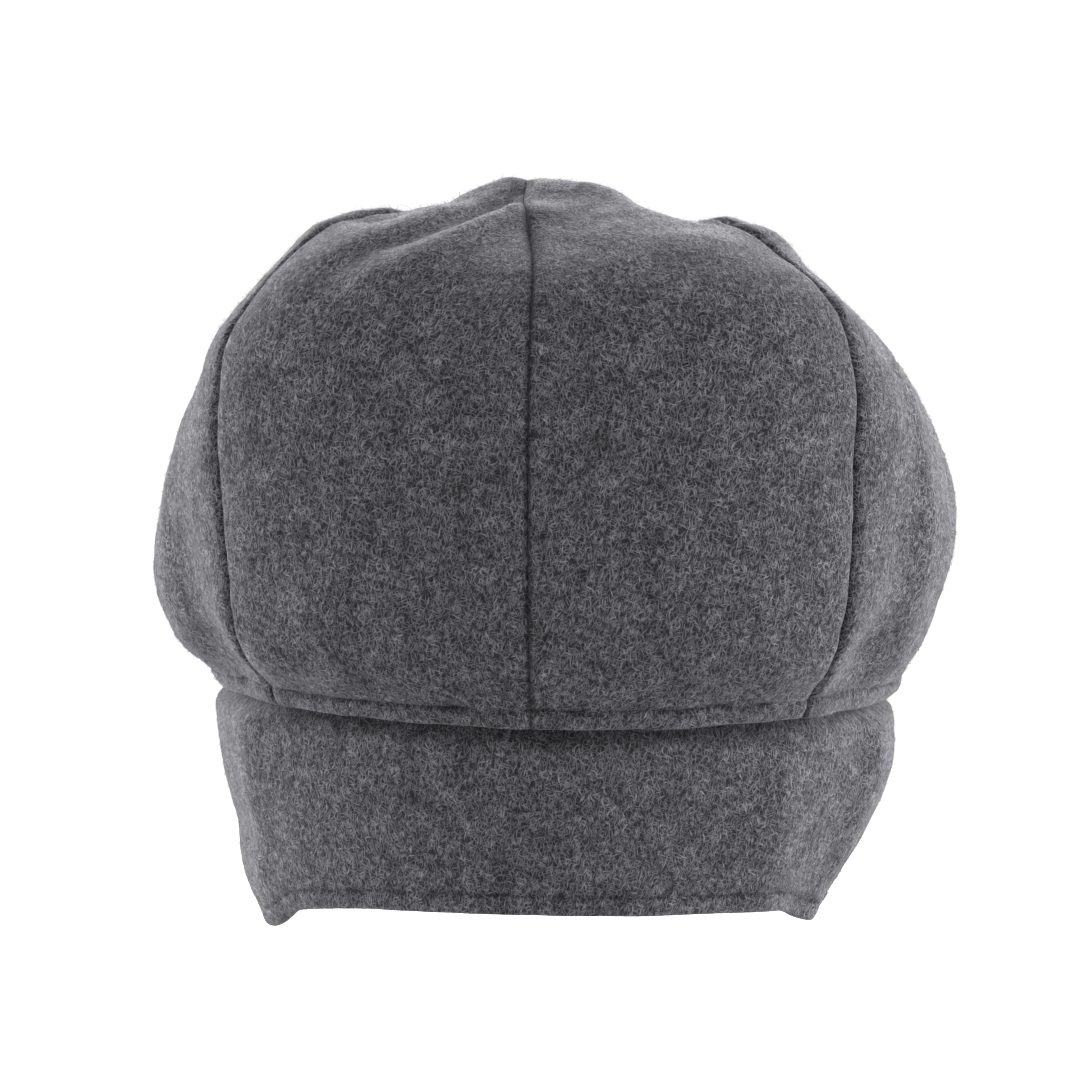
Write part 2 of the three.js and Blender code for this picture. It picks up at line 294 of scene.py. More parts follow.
def unit(vectors):
    return vectors / (np.linalg.norm(vectors, axis=-1, keepdims=True) + 1e-12)


def run_along(line):
    """How far along a line of points each of them is."""
    return np.concatenate([[0], np.cumsum(np.linalg.norm(np.diff(line, axis=0), axis=1))])


print("reach of the back seam halfway between two sections:", from_rows(crown["back"], 3.5))

# %% [markdown]
# The seams of the real crown run straight up, except the back one, which the hump pulls to
# the wearer's left near the top. The form of the crown follows: a height gives the reach of
# each seam, and the curve through neighbouring seams gives what lies between them.

# %% Form of the crown
SEAM_LEAN = 17  # degrees by which the back seam leans to the wearer's left at the top
LEAN_FROM, LEAN_TO = 0.55, 0.93  # the heights between which it leans more and more


def seam_azimuth(k, height):
    """The direction in which a seam lies from the cap's middle. Seam 0 is the back one."""
    lean = np.clip((height - LEAN_FROM) / (LEAN_TO - LEAN_FROM), 0, 1) ** 3
    return k * PANEL_ANGLE + np.where(k % PANEL_COUNT == 0, SEAM_LEAN * lean, 0)


def crown_form(azimuth, height):
    """The crown without puff or folds. Azimuth 0 is the back and 90 the wearer's left, and
    height runs along the profile from 0 at the rim to 1 at the top."""
    place = height * (len(CROWN_ROWS) - 1)
    seam = np.floor(azimuth / PANEL_ANGLE).astype(int)
    reaches = [from_rows(crown[name], place) for name in SEAMS]
    corners = []
    for k in (seam - 1, seam, seam + 1, seam + 2):
        reach = np.choose(k % PANEL_COUNT, reaches)
        corners.append(outward(seam_azimuth(k, height)) * reach[..., None])
    along = (azimuth / PANEL_ANGLE - seam)[..., None]
    point = between(*corners, along)
    tilt = HEM_TILT * np.sin(np.radians(azimuth)) * (1 - height) ** 4
    point[..., 2] = from_rows(crown["up"], place) + tilt
    return point


rim = crown_form(np.arange(0.0, 360.0), np.zeros(360))
print("girth of the rim, mm:", round(run_along(np.concatenate([rim, rim[:1]]))[-1]))

# %% [markdown]
# Cloth over air puffs out between its seams, and loose cloth falls in folds. Both could be
# sculpted by hand, but a table can be read and adjusted one fold at a time. The solid model
# has the same puffs and folds. The creases are narrower folds that it leaves out.

# %% Puffs, folds and creases
PANEL_PUFFS = (
    # low on the crown, high on it, from the back seam round by the wearer's left
    (1.5, 3), (3.5, -1), (6, 2), (4.5, 3), (4.5, 3), (6, 1), (4, -0.5), (1.5, 3),
)
CROWN_FOLDS = (
    # azimuth, height, to azimuth, to height, width, rise, rise at its end
    (1, 0.87, 24, 0.57, 6, 3, 0.6),
    (4, 0.88, 28, 0.64, 5, -3.8, -1.2),
    (40, 0.86, 36, 0.8, 8, -3.9, -3.9),
    (32, 0.8, 60, 0.86, 12, 1.1, 1.1),
    (48, 0.83, 53, 0.74, 12, 3.5, 3.5),
    (6, 0.94, -30, 0.86, 14, 8, 7.7),
    (-39, 0.94, -43, 0.82, 11.5, -7.7, -7.9),
    (-49, 0.8, -56, 0.7, 12, 4, 5),
    (57, 0.4, 57, 0.16, 13, -1, -6.5),
    (-57, 0.38, -57, 0.16, 13, -1, -6.5),
)
CREASES = (
    # the same columns
    (9, 0.89, 26, 0.72, 3.4, 1, 0),
    (-4, 0.805, -22, 0.785, 9, 3.4, 1.2),
    (-32, 0.86, -39, 0.76, 2.6, -1.6, -0.4),
    (-45, 0.84, -38, 0.76, 2.6, -1.6, -0.4),
    (100, 0.8, 112, 0.6, 5, 1.6, 0),
    (-98, 0.78, -116, 0.62, 5, 1.6, 0),
    (150, 0.86, 165, 0.7, 5, -1.8, 0),
    (-140, 0.84, -158, 0.72, 5, 1.8, 0),
    (62, 0.6, 66, 0.25, 4, 1.1, 0.5),
    (74, 0.66, 76, 0.3, 3, -1.1, -0.4),
    (-60, 0.6, -64, 0.25, 4, 1.1, 0.5),
    (-75, 0.62, -77, 0.3, 3, -1.1, -0.4),
)
print("folds:", len(CROWN_FOLDS), "and creases:", len(CREASES))

# %% [markdown]
# A fold is a short path on the crown that lifts or dents what lies near it, fading like a
# bell curve to both sides. The lift follows the cloth's normal, which comes from two short
# steps on the form.

# %% Lifting the cloth
STEP = 0.002  # of an azimuth in degrees, or of a height
PATH_POINTS = 7


def normal_of(surface, u, v):
    """The outward normal of a surface that is given as a function of two parameters."""
    along = surface(u + STEP, v) - surface(u - STEP, v)
    up = surface(u, v + STEP) - surface(u, v - STEP)
    return unit(np.cross(up, along))


def fold_paths(surface, rows):
    """Each fold of a table as points on a surface, with its width and its rise at each."""
    steps = np.linspace(0, 1, PATH_POINTS)
    paths = []
    for u, v, to_u, to_v, width, rise, to_rise in rows:
        path = surface(u + (to_u - u) * steps, v + (to_v - v) * steps)
        paths.append((path, width, rise + (to_rise - rise) * steps))
    return paths


def fold_rise(paths, points):
    """How far all folds together lift each point."""
    lift = np.zeros(points.shape[:-1])
    for path, width, rises in paths:
        nearest = np.full(lift.shape, np.inf)
        rise = np.zeros(lift.shape)
        for start, end, rise_here, rise_next in zip(path[:-1], path[1:], rises[:-1], rises[1:]):
            along = end - start
            part = np.clip(((points - start) @ along) / (along @ along), 0, 1)
            gap = np.linalg.norm(points - start - part[..., None] * along, axis=-1)
            rise = np.where(gap < nearest, rise_here + (rise_next - rise_here) * part, rise)
            nearest = np.minimum(nearest, gap)
        lift += rise * np.exp(-((nearest / width) ** 2))
    return lift


crown_folds = fold_paths(crown_form, CROWN_FOLDS + CREASES)
print("the rim is lifted by at most, mm:", round(float(fold_rise(crown_folds, rim).max()), 2))

# %% [markdown]
# Thick milled wool is never quite even. A sum of random waves in all directions makes it
# softly lumpy. It is read at a point of space, so pieces that touch are lumpy alike, and its
# draws come from a seeded generator, so each run gives the same lumps.

# %% Lumps
WAVES = 28
WAVE_SPREAD = (0.6, 1.5)  # from waves longer than the given size to shorter ones


def lumps(points, size, seed):
    """Soft unevenness of about the given size, with a spread of 1."""
    rng = np.random.default_rng(seed)
    ways = rng.normal(size=(WAVES, 3))
    finer = rng.uniform(*WAVE_SPREAD, WAVES)
    ways *= (2 * np.pi / size * finer / np.linalg.norm(ways, axis=1))[:, None]
    phases = rng.uniform(0, 2 * np.pi, WAVES)
    return np.sin(points @ ways.T + phases).sum(-1) * math.sqrt(2 / WAVES)


def uneven(points, rows):
    """How far the lumps of some rows raise the cloth: amount in mm, size in mm, seed."""
    return sum(amount * lumps(points, size, seed) for amount, size, seed in rows)


PANEL_LUMPS = ((0.28, 26, 3), (0.1, 8, 4))
print("unevenness of the rim, mm:", round(float(uneven(rim, PANEL_LUMPS).std()), 2))

# %% [markdown]
# Every piece of cloth here is a wall with an outer and an inner face. The Solidify modifier
# could give the thickness, but it would fold over itself where an edge rolls in. So a flat
# grid is extruded once, which makes a closed box of two grids, and each vertex is then moved
# to its place on one face or the other. The grid's own corners say which vertex is which.
# Each vertex also stores a painted shade, from 0 to 1: its colour is painted darker in the
# groove of a seam, in a row of stitches and under the hem that lies on it, where shade falls.

# %% Cloth walls
CLOTH_UV = 1 / 200  # one unit of the cloth's UV map is 200 mm of cloth
EDGE_FLAT = 0.1  # what is left flat on each side of a rounded edge


def cloth_wall(name, outer, inner, cloth, painted_shade):
    """A closed wall from two arrays of points in mm, by row and column, with a UV map from
    the two measures of the flat cloth in mm, and a painted shade from 0 to 1 at each point."""
    rows, columns = outer.shape[:2]
    bm = bmesh.new()
    uv_layer = bm.loops.layers.uv.new("cloth")
    painted_shade_layer = bm.verts.layers.float.new("painted_shade")
    bmesh.ops.create_grid(bm, x_segments=columns - 1, y_segments=rows - 1, size=1)
    made = bmesh.ops.extrude_face_region(bm, geom=bm.faces[:], use_keep_orig=True)
    inside = {v for v in made["geom"] if isinstance(v, bmesh.types.BMVert)}
    places = {}
    for vert in bm.verts:
        column = round((vert.co.x + 1) / 2 * (columns - 1))
        row = round((vert.co.y + 1) / 2 * (rows - 1))
        places[vert] = (row, column)
        vert.co = Vector((inner if vert in inside else outer)[row, column]) * MM
        # the painted shade of each point, which darkens the wool's colour
        vert[painted_shade_layer] = painted_shade[row, column]
    for face in bm.faces:
        face.smooth = True
        for loop in face.loops:
            loop[uv_layer].uv = cloth[places[loop.vert]] * CLOTH_UV
    bmesh.ops.recalc_face_normals(bm, faces=bm.faces)
    if bm.calc_volume(signed=True) < 0:
        bmesh.ops.reverse_faces(bm, faces=bm.faces)
    return add_mesh(name, bm)


def round_over(distance, radius):
    """How far a rounded edge falls back at a distance in from the edge."""
    short = np.clip(radius - distance, 0, radius)
    return radius - np.sqrt(radius ** 2 - short ** 2)


def spread(start, end, step):
    """Evenly spaced values after start, up to and with end, about a step apart."""
    count = max(round((end - start) / step), 1)
    return list(np.linspace(start, end, count + 1)[1:])


print("a unit of the cloth's UV map, mm:", round(1 / CLOTH_UV))

# %% [markdown]
# A panel's long edges are sewn to its neighbours. On thick wool the cloth rolls down into
# the seam, which shows as a dark groove with round shoulders. The lower edge is turned up
# inside and topstitched 5.6 mm above the fold: the row of stitches pulls a shallow channel
# and the cloth below it swells into a welt. These effects come first, because the curtain
# and the peak share the stitching.

# %% Seams and stitching
STITCH_ROW = 5.6  # from the edge to the topstitching
STITCH_DEPTH = 0.75
STITCH_REACH = 0.9  # how far from the row the thread pulls the wool
ROW_WANDER = 0.25
PULL_MEAN, PULL_SPREAD, PULL_LEAST = 0.7, 0.35, 0.15
WELT_HEIGHT = 0.45
WELT_FULLNESS = 0.8  # below 1 the welt rises fast at its edges
WELT_UNEVEN = 0.3
# painted shade in the groove of a seam, and how far it spreads
PAINTED_SEAM_SHADE = 0.6
PAINTED_SEAM_SHADE_WIDTH = 0.9
SINK_NONE, SINK_FULL = 30, 60  # the reach over which seams start to sink, out from the button


def stitch_pull(distance, point):
    """How hard a row of topstitching pulls the wool in, 0 to 1. Thick wool takes the thread
    unevenly, so the row wanders a little and some places are pulled in more than others."""
    wander = ROW_WANDER * lumps(point, 22, 11)
    strength = np.clip(PULL_MEAN + PULL_SPREAD * lumps(point, 8, 7), PULL_LEAST, 1)
    return strength * np.exp(-((distance - STITCH_ROW - wander) / STITCH_REACH) ** 2)


def stitch_channel(distance, point):
    """The channel of a row of topstitching and the welt beside it."""
    channel = -STITCH_DEPTH * stitch_pull(distance, point)
    welt = WELT_HEIGHT * np.sin(np.pi * np.clip(distance / STITCH_ROW, 0, 1)) ** WELT_FULLNESS
    return channel + welt * (1 + WELT_UNEVEN * lumps(point, 16, 9))


def shade_painted_by_seams(to_seam, from_hem, point, reach):
    """The painted shade of a panel, in the groove of each seam and in the channel of its topstitching.
    """
    seam_groove_shade = PAINTED_SEAM_SHADE * np.exp(-((to_seam / PAINTED_SEAM_SHADE_WIDTH) ** 2))
    seam_groove_shade *= smooth(reach, SINK_NONE, SINK_FULL)
    return np.maximum(seam_groove_shade, stitch_pull(from_hem, point))


print("mean pull on a stitched row:", round(float(stitch_pull(STITCH_ROW, rim).mean()), 2))

# %% [markdown]
# The outer face of a panel is the crown's form with all that lifts or dents it. The puff is
# a half sine across the panel, raised to a power so that it starts flat beside the seams.

# %% Face of a panel
PUFF_BOW = 1.3  # above 1 the cloth beside a seam stays flat, and the middle bulges more
SEAM_SINK = 1.1  # the soft valley beside a seam
SEAM_WIDTH = 1.7
SINK_AT_HEM = 0.3  # the share of the sink that is left in the stiff hem
PUFF_FROM_HEM = 0.3  # the height at which the puff is full
SINK_FROM_HEM = 0.12  # the height at which a seam has its full sink
PUFF_FROM_TOP = 45  # the reach at which it starts to fade to the button
LOW_PUFF_TO, HIGH_PUFF_FROM = 0.35, 0.65
FOLDS_FROM = (8, 26)  # the reach over which folds fade out under the button
TOP_HEIGHT = 0.985  # a panel ends here, under the button


def crown_face(azimuth, height, number, from_hem):
    """The outer face of a panel before its edges roll in."""
    point = crown_form(azimuth, height)
    in_panel = azimuth / PANEL_ANGLE - number
    reach = np.hypot(point[..., 0], point[..., 1])
    to_seam = reach * math.radians(PANEL_ANGLE) * np.minimum(in_panel, 1 - in_panel)
    fullness = smooth(height, 0, PUFF_FROM_HEM) * smooth(reach, 0, PUFF_FROM_TOP)
    low, high = PANEL_PUFFS[number]
    swell = low + (high - low) * smooth(height, LOW_PUFF_TO, HIGH_PUFF_FROM)
    puff = swell * fullness * np.sin(np.pi * np.clip(in_panel, 0, 1)) ** PUFF_BOW
    sink = SEAM_SINK * np.exp(-((to_seam / SEAM_WIDTH) ** 2)) * smooth(reach, SINK_NONE, SINK_FULL)
    sink *= SINK_AT_HEM + (1 - SINK_AT_HEM) * smooth(height, 0, SINK_FROM_HEM)
    rise = puff - sink + fold_rise(crown_folds, point) * smooth(reach, *FOLDS_FROM)
    rise += uneven(point, PANEL_LUMPS) + stitch_channel(from_hem, point)
    normal = normal_of(crown_form, azimuth, np.minimum(height, TOP_HEIGHT))
    return point + normal * rise[..., None], normal, to_seam


heights = np.linspace(0, TOP_HEIGHT, 400)
climb = run_along(crown_form(np.full_like(heights, PANEL_ANGLE / 2), heights))
print("length of a panel, mm:", round(climb[-1]))

# %% [markdown]
# The columns and rows of a panel's grid lie close together where the cloth rolls into a seam
# or is stitched, and wider apart where it is plain. Its side edges roll in along the seam's
# own plane, so that two panels meet without a gap or a clash.

# %% Crown panels
WOOL = 2.0
HEM = 3.2  # thickness of the turned-up hem
HEM_END = (6.8, 7.6)  # how far up it gets thinner
SEAM_GAP = 0.06  # what stays open between two panels
SEAM_ROLL = 1.15  # the radius over which the cloth turns down into the seam
ROLL_AT_TOP = 0.3  # the share of it that is left near the button
HALF_PANEL = 46  # half the width of a panel where it is widest
GRID_STEP = 2.1
EDGE_COLUMNS = [0, 0.12, 0.3, 0.55, 0.85, 1.3, 1.9, 2.7, 3.8]
HEM_ROWS = [0, 0.12, 0.35, 0.7, 1.1, 1.6, 2.3, 3.1, 3.9, 4.6, 5.1, 5.4, 5.7, 6, 6.4, 7, 7.8, 8.8]
row_climb = np.array(HEM_ROWS + spread(HEM_ROWS[-1], climb[-1], GRID_STEP))
half_columns = np.array(EDGE_COLUMNS + spread(EDGE_COLUMNS[-1], HALF_PANEL, GRID_STEP)) / HALF_PANEL
across = np.concatenate([half_columns / 2, 1 - half_columns[-2::-1] / 2])
print("grid of a panel:", len(across), "by", len(row_climb))


def crown_panel(number):
    """One panel as arrays: outer face, inner face, flat cloth, painted shade."""
    from_hem, u = np.meshgrid(row_climb, across, indexing="ij")
    height = np.interp(from_hem, climb, heights)
    middle = (number + 0.5) * PANEL_ANGLE
    level = crown_form(np.full_like(height, middle), height)
    level_reach = np.maximum(np.hypot(level[..., 0], level[..., 1]), 1)
    half = PANEL_ANGLE / 2 - np.degrees(SEAM_GAP / 2 / level_reach)
    azimuth = middle + (2 * u - 1) * half
    face, normal, to_seam = crown_face(azimuth, height, number, from_hem)
    depth_of_roll = ROLL_AT_TOP + (1 - ROLL_AT_TOP) * smooth(level_reach, SINK_NONE, SINK_FULL)
    roll = round_over(to_seam, SEAM_ROLL) * depth_of_roll * smooth(level_reach, 4, 10)
    edge = round_over(from_hem, HEM / 2 - EDGE_FLAT)
    thick = HEM + (WOOL - HEM) * smooth(from_hem, *HEM_END)
    for side in (0, -1):
        sideways = outward(azimuth[:, side] + 90)
        tilt = (normal[:, side] * sideways).sum(-1, keepdims=True)
        normal[:, side] -= sideways * tilt
    normal = unit(normal)
    outer = face - normal * np.maximum(roll, edge)[..., None]
    inner = face - normal * (thick - edge)[..., None]
    cloth = np.stack([(2 * u - 1) * level_reach * math.radians(PANEL_ANGLE / 2), from_hem], -1)
    return outer, inner, cloth, shade_painted_by_seams(to_seam, from_hem, face, level_reach)


SKIN_MARGIN = 5  # columns at each seam that are left without nap
panels = []
crown_skins = []
for number in range(PANEL_COUNT):
    outer, inner, cloth, painted_shade = crown_panel(number)
    panel = cloth_wall(f"panel_of_wool_{number + 1}", outer, inner, cloth, painted_shade)
    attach(panel, "root")
    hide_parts(f"crown_panel_{number + 1}")
    panels.append(panel)
    crown_skins.append(outer[:, SKIN_MARGIN:-SKIN_MARGIN])
    low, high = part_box(f"crown_panel_{number + 1}")
    stray = np.maximum(np.array(low) - outer.min((0, 1)) * MM, outer.max((0, 1)) * MM - np.array(high))
    print(panel.name, "stands proud of its solid by at most, mm:", round(stray.max() / MM, 2))

# %% [markdown]
# The curtain is one doubled piece of the same wool. Its top is sewn inside the hem, and it
# hangs from ear to ear round the back. Its lower edge is a fold with a row of topstitching,
# like the hem of the crown. It is made as the panels are: a table gives its length by angle,
# another how far it stands inside the rim at each level, and a third its upright folds.

# %% Form of the curtain
DROP_ANGLES = np.array([0, 30, 50, 60, 68, 82, 98, 111, 121], float)
DROPS = {
    "left": np.array([50.3, 52.7, 57.3, 64, 65, 63, 58, 45, 20]),
    "right": np.array([50.3, 51.6, 53.6, 58, 60, 61, 55, 41, 20]),
}
INSET_LEVELS = np.array([9, 5.5, 0, -4, -10, -22, -38, -52, -68], float)
INSETS = {
    "back": np.array([2, 3.4, 4.1, 4, 4.5, 6, 9, 12, 16]),
    "left": np.array([1.2, 3.2, 4.3, -0.2, -0.3, 1.4, 5.4, 6.6, 12.5]),
    "right": np.array([1.6, 3.3, 4.3, 0.2, -0.6, 0.3, 7, 15.5, 24]),
}
CURTAIN_FOLDS = (
    # azimuth, up, to azimuth, to up, width, rise, rise at its end
    (56, -4, 62, -66, 9, 2.5, 2.5),
    (88, -34, 92, -48, 13, 2, 2),
    (-70, -4, -62, -62, 8, 3, 3),
    (-40, -18, -44, -60, 9, 2, 2),
)


def place_of(keys, value):
    """The place between rows at which a falling or rising column has a value."""
    rising = keys[1] > keys[0]
    order = keys if rising else keys[::-1]
    place = np.interp(value, order, np.arange(len(keys), dtype=float))
    return place if rising else len(keys) - 1 - place


def by_side(azimuth, values, place):
    """A value from the left or right column, by which side the azimuth is on."""
    return np.where(azimuth > 0, from_rows(values["left"], place), from_rows(values["right"], place))


def curtain_drop(azimuth):
    return by_side(azimuth, DROPS, place_of(DROP_ANGLES, np.abs(azimuth)))


def curtain_form(azimuth, up):
    """The curtain's outer face before its folds, at an azimuth and a height over the rim."""
    place = place_of(INSET_LEVELS, up)
    back = from_rows(INSETS["back"], place)
    side = by_side(azimuth, INSETS, place)
    inset = back + (side - back) * np.sin(np.radians(azimuth)) ** 2
    point = crown_form(azimuth, np.zeros_like(azimuth)) - outward(azimuth) * inset[..., None]
    point[..., 2] += up
    return point


curtain_folds = fold_paths(curtain_form, CURTAIN_FOLDS)
print("drop at the back and over the left ear, mm:", curtain_drop(np.array([0, 68.0])))

# %% [markdown]
# The curtain's grid is close along its free edges and its stitching. The hem of the crown
# lies on its top and casts a painted shadow on it, deeper at the back than over the ears. The
# size of the flat cloth is measured from the same grid.

# %% Neck and ear curtain
CURTAIN_THICKNESS = 3
CURTAIN_TUCK = 9  # how much of it is sewn in above the rim
CURTAIN_END = 121
CURTAIN_GIRTH_LEVEL = -20  # where its width is measured
CURTAIN_LUMPS = ((0.25, 30, 5), (0.1, 9, 6))
CURTAIN_STITCH = 0.8  # its stitches pull less hard than those of the hem
HEM_SHADOW_FADES_BY = 65  # the extra painted shadow under the crown's hem at the back fades out by this azimuth
# the painted shadow under the crown's hem over the ears, and how much deeper it is at the back
HEM_SHADOW_AT_EARS, HEM_SHADOW_MORE_AT_BACK = 0.25, 0.5
FREE_EDGE_ROWS = [0, 0.12, 0.35, 0.7, 1.1, 1.5, 2.2, 3, 3.8, 4.5, 5, 5.4, 5.8, 6.2, 6.8, 7.6, 8.8]
CURTAIN_PLAIN_ROWS = 44
CURTAIN_EDGE_COLUMNS = [0, 0.12, 0.35, 0.7, 1.1, 1.5, 2.4, 3.6, 4.6, 5.2, 5.6, 6, 6.6, 7.6]


def curtain_face(azimuth, up, border):
    """The curtain's outer face with folds, lumps and stitching, and its normal. The border
    is the distance in from its free edges."""
    point = curtain_form(azimuth, up)
    rise = fold_rise(curtain_folds, point) * smooth(-up, 0, 8)
    rise += uneven(point, CURTAIN_LUMPS) * smooth(-up, 0, 6)
    rise += stitch_channel(border, point) * CURTAIN_STITCH * smooth(-up, 0, 4)
    return point + outward(azimuth) * rise[..., None], normal_of(curtain_form, azimuth, up)


def curtain_arrays():
    """The curtain as arrays: outer face, inner face, flat cloth, painted shade."""
    turns = np.linspace(-CURTAIN_END, CURTAIN_END, 600)
    girth = run_along(curtain_form(turns, np.full_like(turns, CURTAIN_GIRTH_LEVEL)))
    half = CURTAIN_EDGE_COLUMNS + spread(CURTAIN_EDGE_COLUMNS[-1], girth[-1] / 2, GRID_STEP)
    along = np.array(half + [girth[-1] - x for x in half[-2::-1]])
    turns_of_columns = np.interp(along, girth, turns)
    height = curtain_drop(turns_of_columns) + CURTAIN_TUCK
    low_rows = np.array(FREE_EDGE_ROWS)[:, None] + 0 * height
    part = np.linspace(0, 1, CURTAIN_PLAIN_ROWS + 1)[1:, None]
    high_rows = FREE_EDGE_ROWS[-1] + part * (height - FREE_EDGE_ROWS[-1])
    from_edge = np.concatenate([low_rows, high_rows])
    azimuth = turns_of_columns + 0 * from_edge
    along = along + 0 * from_edge
    up = from_edge - height + CURTAIN_TUCK
    border = np.minimum(from_edge, np.minimum(along, girth[-1] - along))
    face, normal = curtain_face(azimuth, up, border)
    edge = round_over(border, CURTAIN_THICKNESS / 2 - EDGE_FLAT)[..., None]
    outer = face - normal * edge
    inner = face - normal * (CURTAIN_THICKNESS - edge)
    # The crown's hem casts a painted shadow on the top of the curtain, and the stitching a painted
    # shade in its channel.
    at_the_back = smooth(HEM_SHADOW_FADES_BY - np.abs(azimuth), 0, 30)
    painted_hem_shadow = (HEM_SHADOW_AT_EARS + HEM_SHADOW_MORE_AT_BACK * at_the_back) * smooth(up, -8, -2)
    painted_shade = np.maximum(painted_hem_shadow, CURTAIN_STITCH * stitch_pull(border, face))
    return outer, inner, np.stack([along, up], -1), painted_shade


curtain_outer, curtain_inner, curtain_cloth, curtain_painted_shade = curtain_arrays()
curtain = cloth_wall("curtain_of_wool", curtain_outer, curtain_inner, curtain_cloth, curtain_painted_shade)
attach(curtain, "root")
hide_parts("neck_and_ear_curtain")

# %% [markdown]
# The peak is a stiff core between two layers of the same wool, sewn inside the hem at the
# front and topstitched along its edge. Its outline runs from tip to tip in front of the rim.
# It is bent from one grid: across it by turn, and from the free edge in to the rim.

# %% Form of the peak
RIM_HALF_LENGTH = 104
PEAK_HALF_ANGLE = 56
PEAK_HALF_WIDTH = 82
PEAK_REACH = 54
PEAK_DROP = 24
PEAK_INSET = 3.6
PEAK_TUCK = 6
PEAK_BEND = 0.86  # where along it the peak meets the rim and turns up
PEAK_BELOW_RIM = 0.4
PEAK_BOW = 0.85  # below 1 its outline is squarer than half an ellipse
DROP_BY_LENGTH = 0.6  # where the peak is short it drops less
DROP_OUTWARD = 1.1  # above 1 it curves down more and more


def peak_form(u, v):
    """The peak's upper face: u across it, v from its free edge in."""
    azimuth = 180 + (2 * u - 1) * PEAK_HALF_ANGLE
    turn = (2 * u - 1) * math.pi / 2
    level = np.zeros_like(azimuth)
    tip_y = crown_form(np.full_like(azimuth, 180 - PEAK_HALF_ANGLE), level)[..., 1]
    root = crown_form(azimuth, level) - outward(azimuth) * PEAK_INSET
    bow = np.maximum(np.cos(turn), 0) ** PEAK_BOW
    edge = np.stack([
        -PEAK_HALF_WIDTH * np.sin(turn),
        tip_y - (RIM_HALF_LENGTH + PEAK_REACH + tip_y) * bow,
        root[..., 2]], -1)
    length = np.linalg.norm(edge - root, axis=-1)
    out = 1 - np.minimum(v / PEAK_BEND, 1)
    drop = PEAK_DROP * (length / PEAK_REACH) ** DROP_BY_LENGTH * out ** DROP_OUTWARD
    rise = PEAK_TUCK * smooth(v, PEAK_BEND, 1)
    point = root + (edge - root) * out[..., None]
    point[..., 2] += rise - drop - PEAK_BELOW_RIM
    return point


peak_tip = peak_form(np.array([0.5]), np.array([0.0]))[0]
print("the peak's free edge lies below the rim by, mm:", round(-peak_tip[2], 1))

# %% [markdown]
# The peak's upper face gets the same lumps and stitching as the other cloth. Its outline runs
# out to a point at each side, so the first and last columns lie a little inside it.

# %% Peak
PEAK_THICKNESS = 4
PEAK_COLUMNS = 131
PEAK_MARGIN = 0.004  # of its width, left out at each point
NORMAL_MARGIN = 0.006  # the same, where its normal is measured
PEAK_LUMPS = ((0.12, 20, 8),)
PEAK_STITCH = 0.7  # its stiff core lets the stitches pull less


def peak_face(u, v):
    """The peak's upper face with lumps and stitching, its normal, and the distance in from
    its free edge."""
    safe_u = np.clip(u, PEAK_MARGIN, 1 - PEAK_MARGIN)
    point = peak_form(safe_u, v)
    inside_u = np.clip(safe_u, NORMAL_MARGIN, 1 - NORMAL_MARGIN)
    normal = normal_of(peak_form, inside_u, np.clip(v, 0.004, 0.99))
    from_edge = np.linalg.norm(point - peak_form(safe_u, 0 * v), axis=-1)
    rise = uneven(point, PEAK_LUMPS) + stitch_channel(from_edge, point) * PEAK_STITCH
    return point + normal * rise[..., None], normal, from_edge


def peak_arrays():
    """The peak as arrays: upper face, lower face, flat cloth, painted shade."""
    length = PEAK_REACH / PEAK_BEND
    v_line = np.array(FREE_EDGE_ROWS + spread(FREE_EDGE_ROWS[-1], length, GRID_STEP)) / length
    v, u = np.meshgrid(v_line, np.linspace(0, 1, PEAK_COLUMNS), indexing="ij")
    face, normal, from_edge = peak_face(u, v)
    edge = round_over(from_edge, PEAK_THICKNESS / 2 - EDGE_FLAT)[..., None]
    cloth = np.stack([face[..., 0], v * length], -1)
    lower = face - normal * (PEAK_THICKNESS - edge)
    # The last array is the painted shade in the channel of the stitching.
    return face - normal * edge, lower, cloth, stitch_pull(from_edge, face)


def peak_stitch_line():
    """The line of topstitching along the peak's free edge, with normals."""
    u = np.linspace(0.06, 0.94, 160)
    tries = np.linspace(0.02, 0.6, 60)
    grid_v, grid_u = np.meshgrid(tries, u, indexing="ij")
    from_edge = peak_face(grid_u, grid_v)[2]
    return peak_face(u, tries[np.abs(from_edge - STITCH_ROW).argmin(0)])[:2]


peak_upper, peak_lower, peak_cloth, peak_painted_shade = peak_arrays()
peak = cloth_wall("peak_covered_with_wool", peak_upper, peak_lower, peak_cloth, peak_painted_shade)
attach(peak, "root")
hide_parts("peak")
print("peak, mm wide:", round(np.ptp(peak_upper[..., 0])))

# %% [markdown]
# The button hides the point where the eight panels meet. It is a disc of wool drawn over a
# small dome, so it is round with slight gathers near its edge. A half profile spun round
# the axis makes it, and the gathers are a small wave added round the rim.

# %% Covered button
BUTTON_RADIUS = 9.5
BUTTON_HEIGHT = 5.5
BUTTON_WAIST = 0.98  # of its radius, before the gathers
BUTTON_SIDE, BUTTON_TOP = 0.8, 0.7  # below 1 its profile is squarer than an ellipse
BUTTON_SIDES = 72
BUTTON_GATHERS = 18
GATHER_DEPTH = 0.012  # of the radius
button_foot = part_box("crown_button")[0].z
button_bm = bmesh.new()
bows = np.linspace(0, 1, 15)
rounding = np.sin(bows * math.pi / 2) ** BUTTON_TOP
outline = [(0, 0)] + [
    (BUTTON_RADIUS * BUTTON_WAIST * math.cos(bow * math.pi / 2) ** BUTTON_SIDE, BUTTON_HEIGHT * lift)
    for bow, lift in zip(bows, rounding)]
outline[-1] = (0, BUTTON_HEIGHT)
profile_verts = [button_bm.verts.new((x * MM, 0, z * MM)) for x, z in outline]
for first, second in zip(profile_verts[:-1], profile_verts[1:]):
    button_bm.edges.new((first, second))
